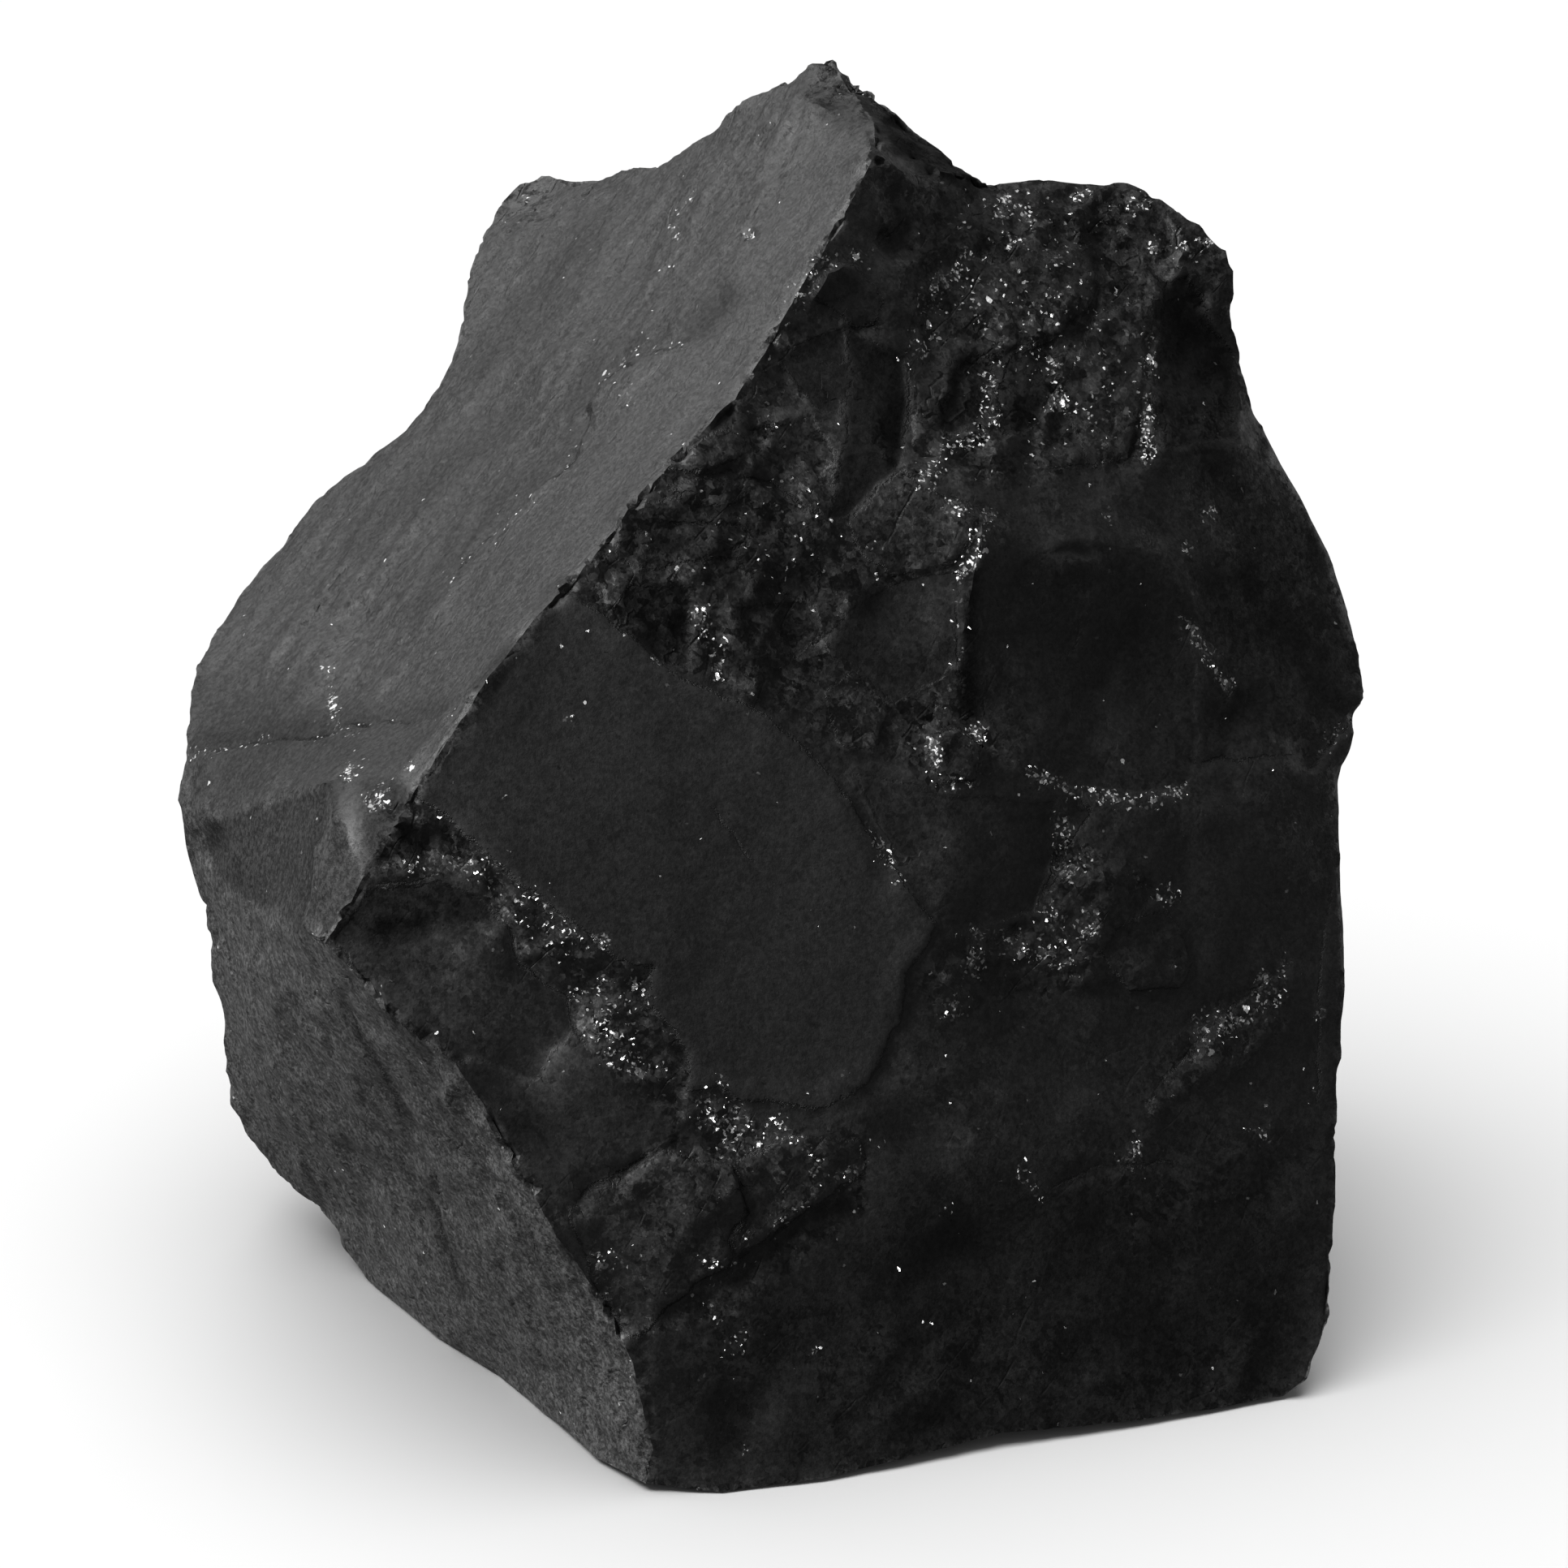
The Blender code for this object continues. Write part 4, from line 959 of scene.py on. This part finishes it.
def makeMesh(name, points, faces, marks):
    # The skin in metres, with each mark as an attribute of its points.
    mesh = bpy.data.meshes.new(name)
    mesh.vertices.add(len(points))
    mesh.vertices.foreach_set("co", (points * metresPerMm).astype(np.float32).reshape(-1))
    mesh.loops.add(faces.size)
    mesh.loops.foreach_set("vertex_index", faces.astype(np.int32).reshape(-1))
    mesh.polygons.add(len(faces))
    mesh.polygons.foreach_set("loop_start", np.arange(0, faces.size, 3, dtype=np.int32))
    mesh.update(calc_edges=True)
    mesh.validate()
    for mark, values in marks.items():
        layer = mesh.attributes.new(mark, "FLOAT", "POINT")
        layer.data.foreach_set("value", values.astype(np.float32))
    mesh.shade_smooth()
    mean = np.mean(marks["rough"][faces], axis=1)
    mesh.polygons.foreach_set("use_smooth", mean < stone["flatAbove"])
    mesh.set_sharp_from_angle(angle=math.radians(stone["shadeAngle"]))
    piece = bpy.data.objects.new(name, mesh)
    bpy.context.scene.collection.objects.link(piece)
    return piece


finish = {
    "dark": 0.017, "light": 0.031,          # base colour range of the rock
    "mottled": (0.36, 0.54),                # place in that range, before any grain
    "grainTone": 0.6, "streakTone": 0.15,   # how far each pattern moves it
    # painted shade in broad hollows and painted light on broad rises, then each scoop's own shade
    "broadShade": 0.13, "shadeTone": 0.14,
    "edgeAndHollowShade": (0.12, 0.4),                # pale convex edges and painted shade in fine hollows, on smooth and on broken rock
    "contrast": (1.2, 3.6),                 # of the grain, to the right and on the left faces
    "broadShadeOnLeft": 3.2,                   # of the painted shade and light on the slow shapes, left faces
    "speckle": 0.75,                        # a second grain, left faces only
    "creviceShadeTone": 0.4,                        # painted shade: how pale cracks, creases, pores and gaps are painted
    "glintGlow": 1.5,                        # painted glow: how much paler the rock is painted around glints
    "grainScale": 3600.0,                   # all scales are per metre
    "streakScale": 1500.0,
    "chunkScales": (1150.0, 3300.0, 7800.0),        # broken faces too fine for the mesh
    "chunkTilts": (0.55, 0.5, 0.35),
    "stirScale": 3500.0, "stirReach": 0.0003,       # metres, for ragged borders
    "gritRange": (0.03, 0.6),               # the roughness over which broken rock comes in
    "fineGritRange": (0.0, 0.5), "fineGritLeast": 0.14,
    # pores and the gaps between broken faces are painted shade
    "poreAbove": (0.95, 0.8), "poreRim": (0.12, 0.3),   # fewer to the right than on the left
    "gapRim": (0.6, 0.9), "gapShare": 0.4, "seamShare": 0.9,
    "roughness": (0.4, 0.62),
    "glossFrom": 0.3,                       # rock as dark as this or darker is fully dull
    "darkRoughness": 0.35,                  # added on the darkest breaks
    "specular": 0.22, "darkSpecular": 0.3,  # the second is a share of the first
    "grainHeight": 0.000034, "leftGrain": 1.8,      # heights are in metres
    "streakHeight": 0.000016,
    "creaseWidth": 0.05, "creaseDepth": 0.00006, "creaseOnLeft": 0.4,
    "borderWidth": 0.07,
    "crackWidth": 0.09, "crackDepth": 0.00014,
    # painted glint colours of the lit grains, then their metal, roughness and tilt
    "glintColour": (0.07, 1.0), "glintMetal": 0.3, "glintRoughness": 0.25,
    "glintTilt": 1.3,
    "glintGain": 1.4, "crystalGain": 0.07,  # share of the grains that glint in a chain
    "glintOnLeft": 0.5, "shinePower": 4.0,
    "threadRim": (0.25, 0.65), "threadLeast": 0.25,     # glints thread between the cells
    "strewnGlints": 0.013, "looseGlints": 0.0004,
}


class Nodes:
    # Short calls for building a node tree.
    def __init__(self, tree):
        self.tree = tree
        self.links = tree.links

    def add(self, kind, inputs=None, **settings):
        node = self.tree.nodes.new(kind)
        for key, value in settings.items():
            setattr(node, key, value)
        for key, value in (inputs or {}).items():
            if isinstance(value, bpy.types.NodeSocket):
                self.links.new(value, node.inputs[key])
            else:
                node.inputs[key].default_value = value
        return node

    def maths(self, operation, a, b=0.0, clamp=False):
        node = self.add("ShaderNodeMath", {0: a, 1: b}, operation=operation, use_clamp=clamp)
        return node.outputs[0]

    def plus(self, a, b):
        return self.maths("ADD", a, b)

    def times(self, a, b):
        return self.maths("MULTIPLY", a, b)

    def larger(self, a, b):
        return self.maths("MAXIMUM", a, b)

    def spread(self, value, fromLow, fromHigh, toLow, toHigh):
        node = self.add("ShaderNodeMapRange", {"Value": value, "From Min": fromLow,
                                               "From Max": fromHigh, "To Min": toLow,
                                               "To Max": toHigh})
        return node.outputs["Result"]

    def between(self, share, low, high):
        # low where the share is 0, high where it is 1.
        return self.spread(share, 0.0, 1.0, low, high)

    def swing(self, value, reach, span=0.2):
        # -reach to reach, as the value runs from 0.5 - span to 0.5 + span.
        return self.spread(value, 0.5 - span, 0.5 + span, -reach, reach)

    def noise(self, where, scale, detail, roughness):
        node = self.add("ShaderNodeTexNoise", {"Vector": where, "Scale": scale, "Detail": detail,
                                               "Roughness": roughness})
        return node.outputs["Fac"]

    def mark(self, name):
        return self.add("ShaderNodeAttribute", attribute_name=name).outputs["Fac"]

    def blend(self, share, a, b):
        return self.add("ShaderNodeMix", {"Factor": share, "A": a, "B": b}).outputs[0]

    def vector(self, operation, a, b):
        key = "Scale" if operation == "SCALE" else 1
        return self.add("ShaderNodeVectorMath", {0: a, key: b}, operation=operation).outputs[0]

    def dot(self, a, b):
        node = self.add("ShaderNodeVectorMath", {0: a, 1: b}, operation="DOT_PRODUCT")
        return node.outputs["Value"]


def stretched(n, where, way):
    # P - (1 - 1 / stretch) (P . D) D, as alongFabric does for the mesh.
    along = n.vector("SCALE", way, n.dot(where, way))
    part = n.vector("SCALE", along, 1.0 - 1.0 / pattern["fineStretch"])
    return n.vector("SUBTRACT", where, part)


def thinLine(n, value, width):
    # 1 where the value passes 0, falling to 0 at width to each side.
    return n.spread(n.maths("ABSOLUTE", value), 0.0, width, 1.0, 0.0)


def cellPattern(n, where, scale):
    # Cells: a random tilt, two random numbers, and the distance to the cell's seed.
    cells = n.add("ShaderNodeTexVoronoi", {"Vector": where, "Scale": scale})
    parts = n.add("ShaderNodeSeparateColor", {0: cells.outputs["Color"]})
    return {"tilt": n.vector("SUBTRACT", cells.outputs["Color"], (0.5, 0.5, 0.5)),
            "pick": parts.outputs["Red"], "shine": parts.outputs["Green"],
            "gap": cells.outputs["Distance"]}


def rockPatterns(n, m):
    # Grain, streaks along the layering, and three sizes of cells for the broken rock.
    where = n.add("ShaderNodeTexCoord").outputs["Object"]
    layered = n.add("ShaderNodeMix", {0: m["under"], 4: stretched(n, where, stone["fabric"]),
                                      5: stretched(n, where, stone["underFabric"])},
                    data_type="VECTOR").outputs[1]
    stir = n.add("ShaderNodeTexNoise", {"Vector": where, "Scale": finish["stirScale"],
                                        "Detail": 1.0})
    stir = n.vector("SUBTRACT", stir.outputs["Color"], (0.5, 0.5, 0.5))
    ragged = n.vector("ADD", where, n.vector("SCALE", stir, finish["stirReach"]))
    large, middle, small = (cellPattern(n, ragged, scale) for scale in finish["chunkScales"])
    return {"grain": n.noise(where, finish["grainScale"], 3.0, 0.8),
            "streak": n.noise(layered, finish["streakScale"], 3.0, 0.75),
            "large": large, "middle": middle, "small": small,
            "grit": n.spread(m["rough"], *finish["gritRange"], 0.0, 1.0),
            "fineGrit": n.spread(m["rough"], *finish["fineGritRange"], finish["fineGritLeast"],
                                 1.0)}


def rockBreaks(n, m, p):
    # Creases, pores, cracks, gaps and plate borders. A crack or border shows where its distance passes
    # 0, wavering with the grain. Pores and gaps serve only the painted shade in the colour; creases
    # and cracks are cut in the bump and also painted darker.
    waver = n.times(n.maths("SUBTRACT", p["grain"], 0.5), 0.5)
    creasing = n.plus(n.times(m["left"], finish["creaseOnLeft"]), p["grit"])
    crease = n.plus(m["crease"], n.times(waver, 0.1))
    crease = n.times(thinLine(n, crease, finish["creaseWidth"]), n.times(creasing, m["patch"]))
    above = n.between(m["left"], *finish["poreAbove"])
    holed = n.maths("GREATER_THAN", p["middle"]["shine"], above)
    pore = n.times(n.spread(p["middle"]["gap"], *finish["poreRim"], 1.0, 0.0), holed)
    crack = thinLine(n, n.plus(m["crackSide"], waver), finish["crackWidth"])
    crack = n.times(n.times(crack, m["crackShare"]), n.spread(m["patch"], 0.0, 0.6, 0.4, 1.0))
    width = finish["borderWidth"]
    border = n.spread(n.plus(m["borderSide"], waver), -width, width, -0.5, 0.5)
    seam = n.times(n.spread(m["seam"], 0.5, 1.0, 0.0, finish["seamShare"]), m["patch"])
    gap = n.spread(p["large"]["gap"], *finish["gapRim"], 0.0, finish["gapShare"])
    gap = n.times(n.larger(gap, seam), p["grit"])
    return {"crease": crease, "pore": pore, "crack": crack, "gap": gap,
            "border": n.times(border, m["borderRise"])}


def rockColour(n, m, p, breaks):
    # Fine grain, slow mottling, paler on edges, and painted shade: darker in hollows, cracks, creases,
    # gaps and pores.
    left, grit = m["left"], p["grit"]
    mixed = n.plus(n.swing(p["grain"], finish["grainTone"]),
                   n.times(n.swing(p["streak"], finish["streakTone"]), n.plus(grit, left)))
    chunky = n.times(n.maths("SUBTRACT", p["small"]["shine"], 0.5),
                     n.plus(p["fineGrit"], n.times(left, 0.3)))
    mixed = n.times(n.plus(mixed, chunky), n.between(left, *finish["contrast"]))
    level = n.plus(n.between(m["mottle"], *finish["mottled"]), mixed)
    # painted shade in fine hollows and paler convex edges, then painted shade in broad hollows and
    # painted light on broad rises
    edges = n.times(n.swing(m["curve"], 1.0, 0.08), n.between(grit, *finish["edgeAndHollowShade"]))
    slow = n.times(n.swing(m["broad"], finish["broadShade"]),
                   n.between(left, 1.0, finish["broadShadeOnLeft"]))
    level = n.plus(n.plus(level, edges), slow)
    level = n.maths("ADD", level, n.swing(m["shade"], finish["shadeTone"], 0.5), clamp=True)
    # times the paleness mark: the rock's own paleness with painted light and shade
    colour = n.times(n.between(level, finish["dark"], finish["light"]), m["paleAndShade"])
    speckled = n.times(n.swing(p["grain"], finish["speckle"]), left)
    colour = n.times(colour, n.plus(speckled, 1.0))
    # painted shade: darker in cracks, creases, pores and the gaps between broken faces
    creviceShade = n.larger(n.larger(breaks["crack"], breaks["pore"]),
                    n.larger(n.times(breaks["crease"], 0.7), breaks["gap"]))
    colour = n.times(colour, n.between(creviceShade, 1.0, finish["creviceShadeTone"]))
    # painted glow: paler rock round the glints
    return n.times(colour, n.spread(m["glint"], 0.0, 0.6, 1.0, finish["glintGlow"]))


def rockGlints(n, m, p):
    # Specks along the borders of the broken faces, and a few whole crystals: where the wanted share is
    # above a grain's own random number. Also how brightly each shines, which the colour shows as a
    # painted glint on top of the lamps' real reflection in the tipped grains.
    thread = n.spread(p["large"]["gap"], *finish["threadRim"], finish["threadLeast"], 1.0)
    strewn = n.times(n.times(p["grit"], m["patch"]), n.plus(m["seam"], 0.2))
    share = n.plus(n.times(m["glint"], finish["glintGain"]),
                   n.times(strewn, finish["strewnGlints"]))
    share = n.times(n.times(share, thread), n.plus(m["patch"], 0.4))
    share = n.times(share, n.between(m["left"], 1.0, finish["glintOnLeft"]))
    specks = n.maths("GREATER_THAN", n.plus(share, finish["looseGlints"]), p["small"]["pick"])
    crystals = n.maths("GREATER_THAN", n.times(m["glint"], finish["crystalGain"]),
                       p["middle"]["pick"])
    bright = n.maths("POWER", p["small"]["shine"], finish["shinePower"])
    shine = n.larger(n.times(specks, bright), n.times(crystals, p["middle"]["shine"]))
    return specks, crystals, shine


def fineRelief(n, m, p, breaks):
    # Heights in metres, too fine for the mesh: grain, streaks, plate borders, less cracks.
    height = n.times(n.times(p["grain"], n.between(m["left"], 1.0, finish["leftGrain"])),
                     finish["grainHeight"])
    streaked = n.times(n.times(p["streak"], n.plus(m["left"], p["grit"])),
                       finish["streakHeight"])
    height = n.plus(height, streaked)
    height = n.plus(height, n.times(breaks["border"], metresPerMm))
    for name in ("crack", "crease"):
        height = n.maths("SUBTRACT", height, n.times(breaks[name], finish[name + "Depth"]))
    bump = n.add("ShaderNodeBump", {"Strength": 1.0, "Distance": 1.0, "Height": height})
    return bump.outputs[0]


def stoneMaterial():
    # Black rock of one colour range, with bright grains where rockGlints puts them: pale crystal that
    # reflects the lamps, with painted glints in its colour.
    material = bpy.data.materials.new("shungiteRock")
    material.use_nodes = True
    n = Nodes(material.node_tree)
    shader = material.node_tree.nodes["Principled BSDF"]
    m = {name: n.mark(name) for name in (
        "rough", "glint", "paleAndShade", "gloss", "shade", "curve", "broad", "seam", "patch", "left",
        "under", "mottle", "crease", "borderSide", "borderRise", "crackSide", "crackShare")}
    p = rockPatterns(n, m)
    breaks = rockBreaks(n, m, p)
    specks, crystals, shine = rockGlints(n, m, p)
    lit = n.larger(specks, crystals)

    # painted glint: lit grains take a colour up to white by their random shine
    colour = n.blend(lit, rockColour(n, m, p, breaks), n.between(shine, *finish["glintColour"]))
    grey = n.add("ShaderNodeCombineColor", {0: colour, 1: colour, 2: colour}).outputs[0]
    dull = n.plus(n.spread(p["streak"], 0.3, 0.7, *finish["roughness"]),
                  n.spread(m["gloss"], finish["glossFrom"], 1.0, finish["darkRoughness"], 0.0))
    sheen = n.spread(m["gloss"], finish["glossFrom"], 1.0,
                     finish["darkSpecular"] * finish["specular"], finish["specular"])

    # each little broken face, and each glint, is tipped its own way
    straight = fineRelief(n, m, p, breaks)
    tips = [(p[size], share, tilt) for size, share, tilt in zip(
        ("large", "middle", "small"), (p["grit"], p["fineGrit"], p["fineGrit"]),
        finish["chunkTilts"])]
    tips += [(p["middle"], crystals, finish["glintTilt"]),
             (p["small"], specks, finish["glintTilt"])]
    for cells, share, tilt in tips:
        tipped = n.vector("SCALE", cells["tilt"], n.times(share, tilt))
        straight = n.vector("ADD", straight, tipped)
    normal = n.add("ShaderNodeVectorMath", {0: straight}, operation="NORMALIZE").outputs[0]

    for name, socket in (("Base Color", grey), ("Metallic", n.times(lit, finish["glintMetal"])),
                         ("Roughness", n.blend(lit, dull, finish["glintRoughness"])),
                         ("Specular IOR Level", sheen), ("Normal", normal)):
        n.links.new(socket, shader.inputs[name])
    return material


studio = {
    "floorSize": 6.0, "floorColour": 0.82,              # metres across
    "floorRoughness": 0.9, "floorSpecular": 0.1,
    "floorSun": 3.5, "floorSoftness": 75.0, "floorFrom": (-0.25, 0.1, 1.0),
    "worldShown": 0.93, "worldGiven": 0.18,             # what is seen, and what it lights
    "lightGap": 0.6, "aimHeight": 0.03,                 # metres
    "key": {"from": (-0.79, -0.13, 0.6), "power": 10.6, "width": 0.36},
    "back": {"from": (-0.45, 0.65, 0.6), "power": 1.2, "width": 0.3},
    "side": {"from": (0.75, 0.62, 0.2), "power": 0.6, "width": 0.4},
}


def aimLamp(name, light, fromWay, gap, target):
    # A light that reaches only the target, so that each can be set by itself.
    piece = bpy.data.objects.new(name, light)
    way = Vector(fromWay).normalized()
    piece.location = way * gap + Vector((0.0, 0.0, studio["aimHeight"]))
    piece.rotation_euler = way.to_track_quat("Z", "Y").to_euler()
    bpy.context.scene.collection.objects.link(piece)
    reached = bpy.data.collections.new(name + "Reach")
    reached.objects.link(target)
    piece.light_linking.receiver_collection = reached


def softbox(name, settings, target):
    # A round lamp, its power in watts and its width in metres.
    light = bpy.data.lights.new(name, "AREA")
    light.shape = "DISK"
    light.size = settings["width"]
    light.energy = settings["power"]
    aimLamp(name, light, settings["from"], studio["lightGap"], target)


def lightFloor(floor):
    # A wide soft sun for the floor, so that no shadow on it is hard.
    light = bpy.data.lights.new("floorLight", "SUN")
    light.energy = studio["floorSun"]
    light.angle = math.radians(studio["floorSoftness"])
    aimLamp("floorLight", light, studio["floorFrom"], studio["lightGap"], floor)


def layFloor():
    # A flat pale square under the stone.
    half = studio["floorSize"] / 2
    mesh = bpy.data.meshes.new("floor")
    mesh.from_pydata([(-half, -half, 0), (half, -half, 0), (half, half, 0), (-half, half, 0)], [],
                     [(0, 1, 2, 3)])
    floor = bpy.data.objects.new("floor", mesh)
    bpy.context.scene.collection.objects.link(floor)
    material = bpy.data.materials.new("paleFloor")
    material.use_nodes = True
    shader = material.node_tree.nodes["Principled BSDF"]
    shader.inputs["Base Color"].default_value = (studio["floorColour"],) * 3 + (1.0,)
    shader.inputs["Roughness"].default_value = studio["floorRoughness"]
    shader.inputs["Specular IOR Level"].default_value = studio["floorSpecular"]
    mesh.materials.append(material)
    floor.visible_diffuse = False       # it throws no light back on the stone
    floor.visible_glossy = False
    return floor


def lightWorld():
    # White all round: seen at one strength, and giving a weaker light.
    world = bpy.data.worlds.new("studio")
    bpy.context.scene.world = world
    world.use_nodes = True
    n = Nodes(world.node_tree)
    background = world.node_tree.nodes["Background"]
    seen = n.add("ShaderNodeLightPath").outputs["Is Camera Ray"]
    strength = n.spread(seen, 0.0, 1.0, studio["worldGiven"], studio["worldShown"])
    n.links.new(strength, background.inputs["Strength"])
    background.inputs["Color"].default_value = (1.0, 1.0, 1.0, 1.0)


def aimCamera():
    # Middle + sight line . distance, tipped down by the lean.
    camera = bpy.data.objects.new("camera", bpy.data.cameras.new("camera"))
    camera.data.lens = view["lens"]
    camera.data.sensor_width = view["sensor"]
    camera.data.clip_start = 0.01
    middle = np.array(view["middle"])
    camera.location = (middle + sightLine() * view["distance"]) * metresPerMm
    camera.rotation_euler = (math.pi / 2 - view["lean"], 0.0, 0.0)
    bpy.context.scene.collection.objects.link(camera)
    bpy.context.scene.camera = camera


skin = makeMesh("stoneSkin", *buildSkin())
skin.data.materials.append(stoneMaterial())
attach(skin, "root")
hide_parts(nodeName)
print("stone made")

lightFloor(layFloor())
lightWorld()
for lamp in ("key", "back", "side"):
    softbox(lamp + "Light", studio[lamp], skin)
aimCamera()
bpy.context.scene.view_settings.view_transform = "Standard"
print("floor, lights and camera placed")
